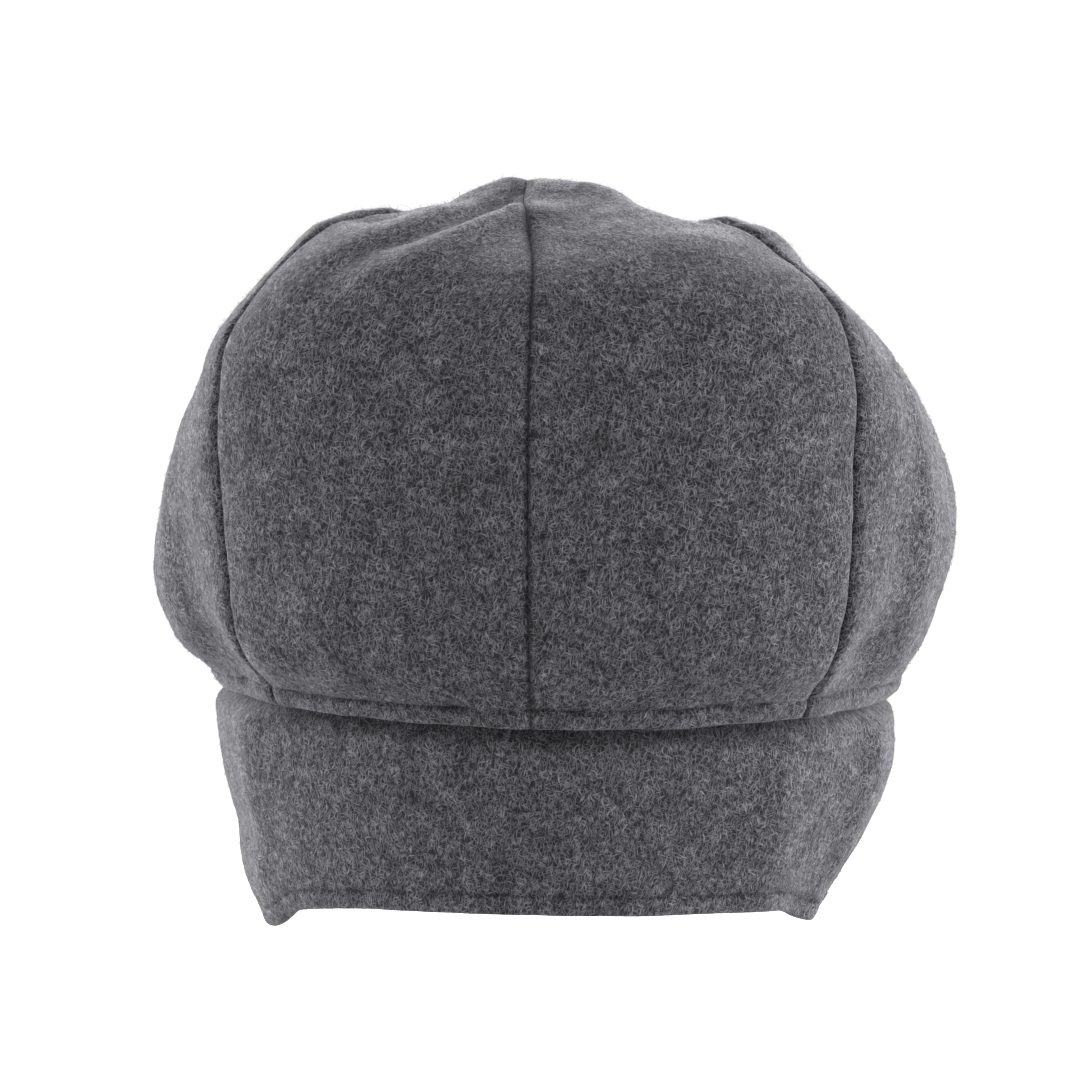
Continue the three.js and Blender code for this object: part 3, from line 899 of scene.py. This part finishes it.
bmesh.ops.spin(
    button_bm, geom=button_bm.verts[:] + button_bm.edges[:], cent=(0, 0, 0), axis=(0, 0, 1),
    dvec=(0, 0, 0), angle=2 * math.pi, steps=BUTTON_SIDES, use_merge=True)
bmesh.ops.remove_doubles(button_bm, verts=button_bm.verts, dist=1e-6)
bmesh.ops.recalc_face_normals(button_bm, faces=button_bm.faces)
button_uv = button_bm.loops.layers.uv.new("cloth")
for vert in button_bm.verts:
    turn = math.atan2(vert.co.y, vert.co.x)
    reach = math.hypot(vert.co.x, vert.co.y) / (BUTTON_RADIUS * MM)
    gather = 1 + GATHER_DEPTH * math.sin(BUTTON_GATHERS * turn) * reach ** 4
    vert.co.x *= gather
    vert.co.y *= gather
    vert.co.z += button_foot
for face in button_bm.faces:
    face.smooth = True
    for loop in face.loops:
        loop[button_uv].uv = (Vector(loop.vert.co[:2]) / MM) * CLOTH_UV
button = add_mesh("button_covered_with_wool", button_bm)
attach(button, "root")
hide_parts("crown_button")
print("button faces:", len(button.data.polygons))

# %% [markdown]
# The topstitching is real thread. One stitch is a small capsule from a sphere of few faces,
# bent down at both ends where it dives into the cloth.

# %% One stitch
STITCH_LENGTH = 2.7
THREAD = 0.42  # thickness of the thread
STITCH_DIP = 0.35  # how far its ends lie below its middle


def as_arrays(bm):
    """The points and triangles of a shape, which is freed."""
    bmesh.ops.triangulate(bm, faces=bm.faces)
    bm.verts.index_update()
    points = np.array([vert.co[:] for vert in bm.verts])
    triangles = np.array([[vert.index for vert in face.verts] for face in bm.faces])
    bm.free()
    return points, triangles


stitch_bm = bmesh.new()
bmesh.ops.create_uvsphere(stitch_bm, u_segments=5, v_segments=4, radius=0.5)
bmesh.ops.rotate(
    stitch_bm, verts=stitch_bm.verts, cent=(0, 0, 0), matrix=Matrix.Rotation(math.pi / 2, 3, "Y"))
bmesh.ops.scale(stitch_bm, verts=stitch_bm.verts, vec=(STITCH_LENGTH, THREAD, THREAD))
for vert in stitch_bm.verts:
    vert.co.z -= STITCH_DIP * (2 * vert.co.x / STITCH_LENGTH) ** 2
stitch_points, stitch_triangles = as_arrays(stitch_bm)
print("triangles of a stitch:", len(stitch_triangles))

# %% [markdown]
# Hundreds of stitches, and many thousands of hairs later on, would be slow as objects of
# their own. So one shape's points are copied to all places in one array, and all the copies
# become one mesh. A copy is turned and bent by arithmetic on its points alone.

# %% Many copies of a shape


def copies(name, *kinds):
    """An object from copies of some shapes. Each kind is an array with the points of each
    copy in mm, and the triangles of the shape."""
    points = np.concatenate([placed.reshape(-1, 3) for placed, _ in kinds])
    triangles = []
    start = 0
    for placed, faces in kinds:
        count, size = placed.shape[:2]
        firsts = start + np.arange(count) * size
        triangles.append((faces + firsts[:, None, None]).reshape(-1, 3))
        start += count * size
    triangles = np.concatenate(triangles).astype(np.int32)
    mesh = bpy.data.meshes.new(name)
    mesh.vertices.add(len(points))
    mesh.vertices.foreach_set("co", (points * MM).astype(np.float32).ravel())
    mesh.loops.add(triangles.size)
    mesh.loops.foreach_set("vertex_index", triangles.ravel())
    mesh.polygons.add(len(triangles))
    mesh.polygons.foreach_set("loop_start", np.arange(0, triangles.size, 3, dtype=np.int32))
    mesh.polygons.foreach_set("use_smooth", np.ones(len(triangles), bool))
    mesh.update(calc_edges=True)
    mesh.validate()
    return add_object(name, mesh)


print("so many stitches would have 200,000 triangles:", 200_000 // len(stitch_triangles))

# %% [markdown]
# A row of stitches follows a line on the cloth at an even pitch. Each stitch lies along the
# line and stands up with the cloth's normal. The hem, the curtain's edge and the peak's edge
# each have one row, 5.6 mm in from the fold.

# %% Topstitching
STITCH_PITCH = 3.4


def stitch_row(name, line, normals):
    """Stitches along a line on the cloth, which is given by points and normals in mm."""
    run = run_along(line)
    at = np.arange(STITCH_PITCH / 2, run[-1], STITCH_PITCH)

    def sample(values):
        return np.stack([np.interp(at, run, values[:, k]) for k in range(3)], -1)

    along = unit(sample(np.gradient(line, axis=0)))
    side = unit(np.cross(sample(normals), along))
    axes = np.stack([along, side, np.cross(along, side)], 1)
    piece = copies(name, (sample(line)[:, None] + stitch_points[None] @ axes, stitch_triangles))
    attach(piece, "root")
    return piece


def hem_stitch_line(number):
    """The stitched line of one panel's hem."""
    azimuth = np.linspace(number, number + 1, 60) * PANEL_ANGLE
    from_hem = np.full(60, STITCH_ROW)
    face, normal, _ = crown_face(azimuth, np.interp(from_hem, climb, heights), number, from_hem)
    return face, normal


hem_lines = [hem_stitch_line(number) for number in range(PANEL_COUNT)]
hem_stitches = stitch_row(
    "hem_topstitching", np.concatenate([line for line, _ in hem_lines]),
    np.concatenate([normal for _, normal in hem_lines]))

ROW_MARGIN = 4  # degrees from the curtain's ends to its row of stitches
curtain_turns = np.linspace(-CURTAIN_END + ROW_MARGIN, CURTAIN_END - ROW_MARGIN, 400)
curtain_line, curtain_normals = curtain_face(
    curtain_turns, STITCH_ROW - curtain_drop(curtain_turns), np.full(400, STITCH_ROW))
curtain_stitches = stitch_row("curtain_topstitching", curtain_line, curtain_normals)

peak_line, peak_normals = peak_stitch_line()
peak_stitches = stitch_row("peak_topstitching", peak_line, peak_normals)
rows = (hem_stitches, curtain_stitches, peak_stitches)
print("stitches:", sum(len(row.data.polygons) for row in rows) // len(stitch_triangles))

# %% [markdown]
# Fine hairs of the wool stand off the cloth. They soften the outline and catch the light. A
# particle system could strew them, but it would not reach an exported mesh. So a hair is a
# thin shape with three sides: a cone, or a prism where it is long, which is cut across where
# it has to bend.

# %% One hair
STRAY_JOINTS = 5


def hair_shape(cuts, tip):
    """A hair along Z from 0 to 1 that can bend at some cuts: how far along it each point
    is, which way each lies from the middle, and the triangles. The tip is 0 or 1 wide."""
    bm = bmesh.new()
    bmesh.ops.create_cone(bm, cap_ends=True, segments=3, radius1=1, radius2=tip, depth=1)
    bmesh.ops.remove_doubles(bm, verts=bm.verts, dist=1e-4)
    bmesh.ops.rotate(bm, verts=bm.verts, cent=(0, 0, 0), matrix=Matrix.Rotation(-math.pi / 2, 3, "Z"))
    bmesh.ops.translate(bm, verts=bm.verts, vec=(0, 0, 0.5))
    for cut in cuts:
        bmesh.ops.bisect_plane(
            bm, geom=bm.verts[:] + bm.edges[:] + bm.faces[:], plane_co=(0, 0, cut), plane_no=(0, 0, 1))
    points, triangles = as_arrays(bm)
    return points[:, 2], unit(points[:, :2]), triangles


straight_hair = hair_shape([], 0)
bent_hair = hair_shape([0.5], 0)
stray_hair = hair_shape(np.linspace(0, 1, STRAY_JOINTS + 2)[1:-1], 1)
print("triangles of each kind:", [len(hair[2]) for hair in (straight_hair, bent_hair, stray_hair)])

# %% [markdown]
# The hairs are strewn over each outer face by chance, as many on each square millimetre
# everywhere. Each starts in some direction on the cloth. The draws come from a seeded
# generator, so each run gives the same fuzz.

# %% Strewing


def double_areas(face):
    """Twice the area of each cell of a grid of points, along its outward normal."""
    return np.cross(face[1:, :-1] - face[:-1, 1:], face[1:, 1:] - face[:-1, :-1])


def area_of(face):
    return np.linalg.norm(double_areas(face), axis=-1).sum() / 2


def strew(face, count, rng):
    """Random points on a grid of points in mm, with normals and a direction on the cloth."""
    normal = double_areas(face)
    area = np.linalg.norm(normal, axis=-1)
    chosen = rng.choice(area.size, count, p=area.ravel() / area.sum())
    row, column = np.unravel_index(chosen, area.shape)
    s, t = rng.random(count)[:, None], rng.random(count)[:, None]
    lower = face[row, column] * (1 - s) + face[row, column + 1] * s
    upper = face[row + 1, column] * (1 - s) + face[row + 1, column + 1] * s
    turned = normal[row, column] / area[row, column][:, None]
    return lower * (1 - t) + upper * t, turned, unit(lower - upper)


def hairs(shape, root, way, aside, bend, radius):
    """The points of some hairs of one shape. Each starts at its root and goes its way. For
    each point, the bend says how far the hair's middle has left that way there."""
    along, around, _ = shape
    over = np.cross(unit(way), aside)
    middle = root[:, None] + way[:, None] * along[:, None] + bend
    return middle + radius[:, None] * (aside[:, None] * around[:, :1] + over[:, None] * around[:, 1:])


def set_tone(piece, tones):
    """Stores on each vertex how light its hair is, from 0 to 1."""
    layer = piece.data.attributes.new("tone", "FLOAT", "POINT")
    layer.data.foreach_set("value", tones.astype(np.float32))


print("area of the first panel, square mm:", round(area_of(crown_skins[0])))

# %% [markdown]
# Most hairs of the nap lie close to the cloth and point downward, as brushing leaves them. A
# few stand up, and a quarter of all bend halfway. Their lengths vary as in any wool, round
# a mean of 1.4 mm.

# %% Nap
NAP_DENSITY = 0.72  # hairs on each square millimetre
NAP_THICKNESS = 0.08
ROOT_DEPTH = 0.1
HAIR_LENGTH = (5, 0.28)  # shape and scale of a gamma distribution, with a mean of 1.4 mm
LEAST_LIFT, MORE_LIFT = 4, 52  # degrees off the cloth
LYING_FLAT = 1.6  # above 1 more hairs lie flat than stand up
BENT_SHARE = 0.25
SIDE_BEND, RISE_BEND = 0.35, 0.25  # of the length
HAIR_TAPER = 0.4
BRUSHED = 0.35  # how strongly the hairs point down rather than up


def nap(name, face, seed):
    """Hairs over a face, as one joined mesh with a light or dark tone for each hair."""
    rng = np.random.default_rng(seed)
    count = int(area_of(face) * NAP_DENSITY)
    root, normal, down = strew(face, count, rng)
    turn = rng.uniform(0, 2 * np.pi, count)[:, None]
    lie = unit(down * (np.cos(turn) + BRUSHED) + np.cross(normal, down) * np.sin(turn))
    lift = np.radians(LEAST_LIFT + MORE_LIFT * rng.random(count) ** LYING_FLAT)[:, None]
    way = lie * np.cos(lift) + normal * np.sin(lift)
    aside = unit(np.cross(way, normal))
    length = rng.gamma(*HAIR_LENGTH, count)[:, None]
    bent = rng.random(count) < BENT_SHARE
    bend = rng.normal(0, SIDE_BEND, (count, 1))
    tone = rng.random(count)
    bend_at_tip = (aside * bend + np.cross(way, aside) * RISE_BEND * bent[:, None]) * length
    kinds, tones = [], []
    for shape, some in ((straight_hair, ~bent), (bent_hair, bent)):
        along = shape[0]
        placed = hairs(
            shape, (root - normal * ROOT_DEPTH)[some], (way * length)[some], aside[some],
            bend_at_tip[some][:, None] * np.maximum(2 * along - 1, 0)[:, None],
            NAP_THICKNESS / 2 * (1 - HAIR_TAPER * along))
        kinds.append((placed, shape[2]))
        tones.append(np.repeat(tone[some], len(along)))
    piece = copies(name, *kinds)
    set_tone(piece, np.concatenate(tones))
    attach(piece, "root")
    return piece


print("hairs on a square centimetre:", round(NAP_DENSITY * 100))

# %% [markdown]
# On worn wool a few long pale hairs have worked loose and curl over the cloth. They are
# strewn like the nap, but each is a longer prism that bows up and drifts to one side.

# %% Stray hairs
STRAY_COUNT = 70
STRAY_RADIUS = 0.07
STRAY_TAPER = 0.8
STRAY_LENGTHS = (3, 7)
STRAY_CURL = 0.35  # of its length
STRAY_BOWS = (0.05, 0.3)  # of its length, off the cloth
BOW_TURN = 0.8 * np.pi  # less than half a turn, so the tip stays off the cloth


def stray_hairs(name, faces, seed):
    """Long pale hairs on some faces, as one joined mesh."""
    rng = np.random.default_rng(seed)
    roots = [strew(face, STRAY_COUNT // len(faces), rng) for face in faces]
    root, normal, down = (np.concatenate(part) for part in zip(*roots))
    count = len(root)
    turn = rng.uniform(0, 2 * np.pi, count)[:, None]
    way = down * np.cos(turn) + np.cross(normal, down) * np.sin(turn)
    aside = np.cross(normal, way)
    length = rng.uniform(*STRAY_LENGTHS, count)[:, None]
    curl = aside * rng.normal(0, STRAY_CURL, count)[:, None] * length
    bow = normal * rng.uniform(*STRAY_BOWS, count)[:, None] * length
    along = stray_hair[0][:, None]
    bend = curl[:, None] * along ** 2 + bow[:, None] * np.sin(BOW_TURN * along)
    radius = STRAY_RADIUS * (1 - STRAY_TAPER * along[:, 0])
    placed = hairs(stray_hair, root, way * length, aside, bend, radius)
    piece = copies(name, (placed, stray_hair[2]))
    set_tone(piece, np.ones(count * len(along)))
    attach(piece, "root")
    return piece


print("stray hairs on each panel:", STRAY_COUNT // PANEL_COUNT)

# %% [markdown]
# Every outer face gets a nap of its own with its own seed, and the crown gets the stray
# hairs. Each is a piece of its own, because its finish differs from that of the cloth below.

# %% Hairs on every piece
naps = []
for number, skin in enumerate(crown_skins):
    fuzz = nap(f"nap_of_panel_{number + 1}", skin, 100 + number)
    naps.append(fuzz)
curtain_nap = nap("nap_of_curtain", curtain_outer, 120)
peak_nap = nap("nap_of_peak", peak_upper, 121)
strays = stray_hairs("stray_hairs_of_crown", crown_skins, 140)
naps += [curtain_nap, peak_nap, strays]
print("triangles of hair:", sum(len(fuzz.data.polygons) for fuzz in naps))

# %% [markdown]
# Milled wool is a felt of light and dark fibres, curled, about two millimetres long, and
# crossing in all directions. One layer of them is a streaky pattern: noise that is turned
# and then stretched one way. It becomes a node group, because several layers lie over each
# other, each turned another way. The pattern follows the cloth's own UV map.

# %% Fibres one way
FIBRE_LENGTH = 2.3 * CLOTH_UV
FIBRE_WIDTH = 0.34 * CLOTH_UV


def group_io(group, inputs, outputs):
    """The named sockets of a node group. An input has a kind and a value to start with."""
    for name, kind, value in inputs:
        made = group.interface.new_socket(name=name, in_out="INPUT", socket_type=kind)
        if value is not None:
            made.default_value = value
    for name in outputs:
        group.interface.new_socket(name=name, in_out="OUTPUT", socket_type="NodeSocketFloat")
    return group.nodes.new("NodeGroupInput"), group.nodes.new("NodeGroupOutput")


fibres_one_way = bpy.data.node_groups.new("fibres one way", "ShaderNodeTree")
source, result = group_io(
    fibres_one_way,
    (("Cloth", "NodeSocketVector", None), ("Angle", "NodeSocketFloat", 0.0),
     ("Length", "NodeSocketFloat", FIBRE_LENGTH), ("Width", "NodeSocketFloat", FIBRE_WIDTH)),
    ("Fibres",))
turn = add_node(
    fibres_one_way, "VectorRotate",
    {"Vector": source.outputs["Cloth"], "Angle": source.outputs["Angle"]}, rotation_type="Z_AXIS")
size = add_node(
    fibres_one_way, "CombineXYZ", {0: source.outputs["Length"], 1: source.outputs["Width"], 2: 1})
stretch = add_node(
    fibres_one_way, "VectorMath", {0: turn.outputs[0], 1: size.outputs[0]}, operation="DIVIDE")
streaks = add_node(
    fibres_one_way, "TexNoise", {"Scale": 1, "Detail": 0, "Vector": stretch.outputs[0]},
    noise_dimensions="2D")
fibres_one_way.links.new(streaks.outputs[0], result.inputs["Fibres"])
print("nodes of a layer of fibres:", len(fibres_one_way.nodes))

# %% [markdown]
# The felt is six such layers. Where the brightest of them is bright there is a light fibre,
# and where the darkest is dark a dark one. More layers run up and down the cloth than across
# it, and a wandering shift curls them all. A cloudy mottle shows where more of the dark or
# the light wool lies on top. All of it is one group, so every wool can share it.

# %% Milled wool
FIBRE_WANDER = 0.9 * CLOTH_UV  # how far a fibre strays from straight
FIBRE_CURL = 2.4 * CLOTH_UV  # the length over which it does so
FIBRE_WAYS = (0.35, 1.0, 1.35, 1.65, 2.0, 2.75)  # radians
FIBRE_LONGER = 0.15  # every second and third layer has fibres longer by this much
DARK_DEPTH = 0.8  # how deep a dark fibre lies against how high a light one does
MOTTLE_FROM, MOTTLE_TO = 0.25, 0.75
LIGHT_FROM, LIGHT_FULL = 0.63, 0.98
DARK_FROM, DARK_FULL = 0.37, 0.05


def maths(tree, operation, first, second):
    return add_node(tree, "Math", {0: first, 1: second}, operation=operation).outputs[0]


def ranged(tree, value, low, high, to_low=0.0, to_high=1.0):
    return add_node(tree, "MapRange", {
        "Value": value, "From Min": low, "From Max": high, "To Min": to_low, "To Max": to_high,
    }).outputs["Result"]


def cloud(group, cloth, size, detail, roughness):
    """Plain noise on the cloth. The size is a socket or a number."""
    scale = maths(group, "DIVIDE", 1.0, size)
    spread_out = add_node(group, "VectorMath", {0: cloth, "Scale": scale}, operation="SCALE")
    return add_node(group, "TexNoise", {
        "Scale": 1, "Detail": detail, "Roughness": roughness, "Vector": spread_out.outputs[0],
    }, noise_dimensions="2D")


milled_wool = bpy.data.node_groups.new("milled wool", "ShaderNodeTree")
source, result = group_io(
    milled_wool, (("Cloth", "NodeSocketVector", None), ("Mottle Size", "NodeSocketFloat", 0.09)),
    ("Light", "Dark", "Mottle", "Height"))
cloth = source.outputs["Cloth"]
wander = cloud(milled_wool, cloth, FIBRE_CURL, 1, 0.5)
curled = add_node(milled_wool, "VectorMath", {
    0: wander.outputs["Color"], 1: (FIBRE_WANDER,) * 3, 2: cloth}, operation="MULTIPLY_ADD")
light, dark = None, None
for number, angle in enumerate(FIBRE_WAYS):
    layer = add_node(milled_wool, "Group", {
        "Cloth": curled.outputs[0], "Angle": angle, "Width": FIBRE_WIDTH,
        "Length": FIBRE_LENGTH * (1 + FIBRE_LONGER * (number % 3))}, node_tree=fibres_one_way)
    value = layer.outputs["Fibres"]
    light = value if light is None else maths(milled_wool, "MAXIMUM", light, value)
    dark = value if dark is None else maths(milled_wool, "MINIMUM", dark, value)
light = ranged(milled_wool, light, LIGHT_FROM, LIGHT_FULL)
dark = ranged(milled_wool, dark, DARK_FROM, DARK_FULL)
mottle = cloud(milled_wool, cloth, source.outputs["Mottle Size"], 5, 0.72)
height = maths(milled_wool, "SUBTRACT", light, maths(milled_wool, "MULTIPLY", dark, DARK_DEPTH))
set_inputs(milled_wool, result, {
    "Light": light, "Dark": dark, "Height": height,
    "Mottle": ranged(milled_wool, mottle.outputs[0], MOTTLE_FROM, MOTTLE_TO)})
print("layers of fibres:", len(FIBRE_WAYS))

# %% [markdown]
# The wool mixes dark and light fibres over a ground colour. The mottle shades them all, a
# painted shade darkens them in the seams, the stitching and under the hem, and the same
# fibres raise a fine bump. The fuzz shines where the cloth turns away, which is the shader's
# own sheen. Sheen and roughness are even over the cloth, so they are plain values on the
# shader.

# %% Wool
FULL_PAINTED_SHADE = 0.35  # the share of the colour left where the painted shade is full
MOTTLE_SIZE = 8
MOTTLE_SHADES = (0.58, 1.42)
WOOL_GROUND = (0.047, 0.0457, 0.0512, 1)
LIGHT_FIBRE = (0.49, 0.478, 0.521, 1)
DARK_FIBRE = (0.0155, 0.015, 0.0178, 1)
DARK_COVER, LIGHT_COVER = 0.75, 0.8  # how fully a fibre hides the ground
FIBRE_RISE = 0.25 * MM


def colour_mix(tree, amount, first, second):
    return add_node(tree, "Mix", {0: amount, 6: first, 7: second}, data_type="RGBA").outputs[2]


wool, wool_nodes, wool_shader = new_finish("milled grey wool")
cloth_map = add_node(wool_nodes, "UVMap", {}, uv_map="cloth")
felt = add_node(
    wool_nodes, "Group", {"Cloth": cloth_map.outputs[0], "Mottle Size": MOTTLE_SIZE * CLOTH_UV},
    node_tree=milled_wool)
# The painted shade stored on each point darkens the colour in seams, stitching and under the hem.
painted_shade = add_node(wool_nodes, "Attribute", {}, attribute_name="painted_shade")
dark_share = maths(wool_nodes, "MULTIPLY", felt.outputs["Dark"], DARK_COVER)
light_share = maths(wool_nodes, "MULTIPLY", felt.outputs["Light"], LIGHT_COVER)
with_dark = colour_mix(wool_nodes, dark_share, WOOL_GROUND, DARK_FIBRE)
with_light = colour_mix(wool_nodes, light_share, with_dark, LIGHT_FIBRE)
shade = maths(
    wool_nodes, "MULTIPLY", ranged(wool_nodes, felt.outputs["Mottle"], 0, 1, *MOTTLE_SHADES),
    ranged(wool_nodes, painted_shade.outputs["Fac"], 0, 1, 1, FULL_PAINTED_SHADE))
shaded = add_node(wool_nodes, "VectorMath", {0: with_light, "Scale": shade}, operation="SCALE")
bump = add_node(wool_nodes, "Bump", {
    "Strength": 0.5, "Distance": FIBRE_RISE, "Height": felt.outputs["Height"]})
set_inputs(wool_nodes, wool_shader, {
    "Base Color": shaded.outputs[0], "Normal": bump.outputs[0], "Roughness": 0.95,
    "Specular IOR Level": 0.15, "Sheen Weight": 0.4, "Sheen Roughness": 0.35,
    "Sheen Tint": (0.92, 0.92, 1, 1)})
for piece in [*panels, curtain, peak, button]:
    piece.data.materials.append(wool)
print("pieces of wool:", len(panels) + 3)

# %% [markdown]
# Each hair has one tone all along, which its vertices store. Most hairs are dark and few are
# pale, as in the felt. The stitching is grey thread, a little uneven in colour.

# %% Hairs and thread
DARK_HAIR, PALE_HAIR = (0.05, 0.05, 0.056, 1), (0.5, 0.5, 0.54, 1)
DARK_THREAD, PALE_THREAD = (0.012, 0.012, 0.014, 1), (0.04, 0.04, 0.045, 1)
FEW_PALE = 2.5  # above 1 most hairs are dark

hair, hair_nodes, hair_shader = new_finish("wool hairs")
tone = add_node(hair_nodes, "Attribute", {}, attribute_name="tone")
lightness = maths(hair_nodes, "POWER", tone.outputs["Fac"], FEW_PALE)
hair_colour = colour_mix(hair_nodes, lightness, DARK_HAIR, PALE_HAIR)
set_inputs(hair_nodes, hair_shader, {"Base Color": hair_colour, "Roughness": 0.7})
for fuzz in naps:
    fuzz.data.materials.append(hair)

thread, thread_nodes, thread_shader = new_finish("grey thread")
where = add_node(thread_nodes, "TexCoord", {})
twist = add_node(thread_nodes, "TexNoise", {"Scale": 2500, "Vector": where.outputs["Object"]})
thread_colour = colour_mix(thread_nodes, twist.outputs[0], DARK_THREAD, PALE_THREAD)
set_inputs(thread_nodes, thread_shader, {"Base Color": thread_colour, "Roughness": 0.75})
for row in (hem_stitches, curtain_stitches, peak_stitches):
    row.data.materials.append(thread)
print("pieces of hair:", len(naps), "and rows of thread: 3")

# %% [markdown]
# Last, the dressed cap is measured: the box round every rendered piece, apart from the floor.

# %% Size of the dressed cap
low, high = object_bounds()
print("dressed cap, metres:", [round(top - bottom, 4) for bottom, top in zip(low, high)])
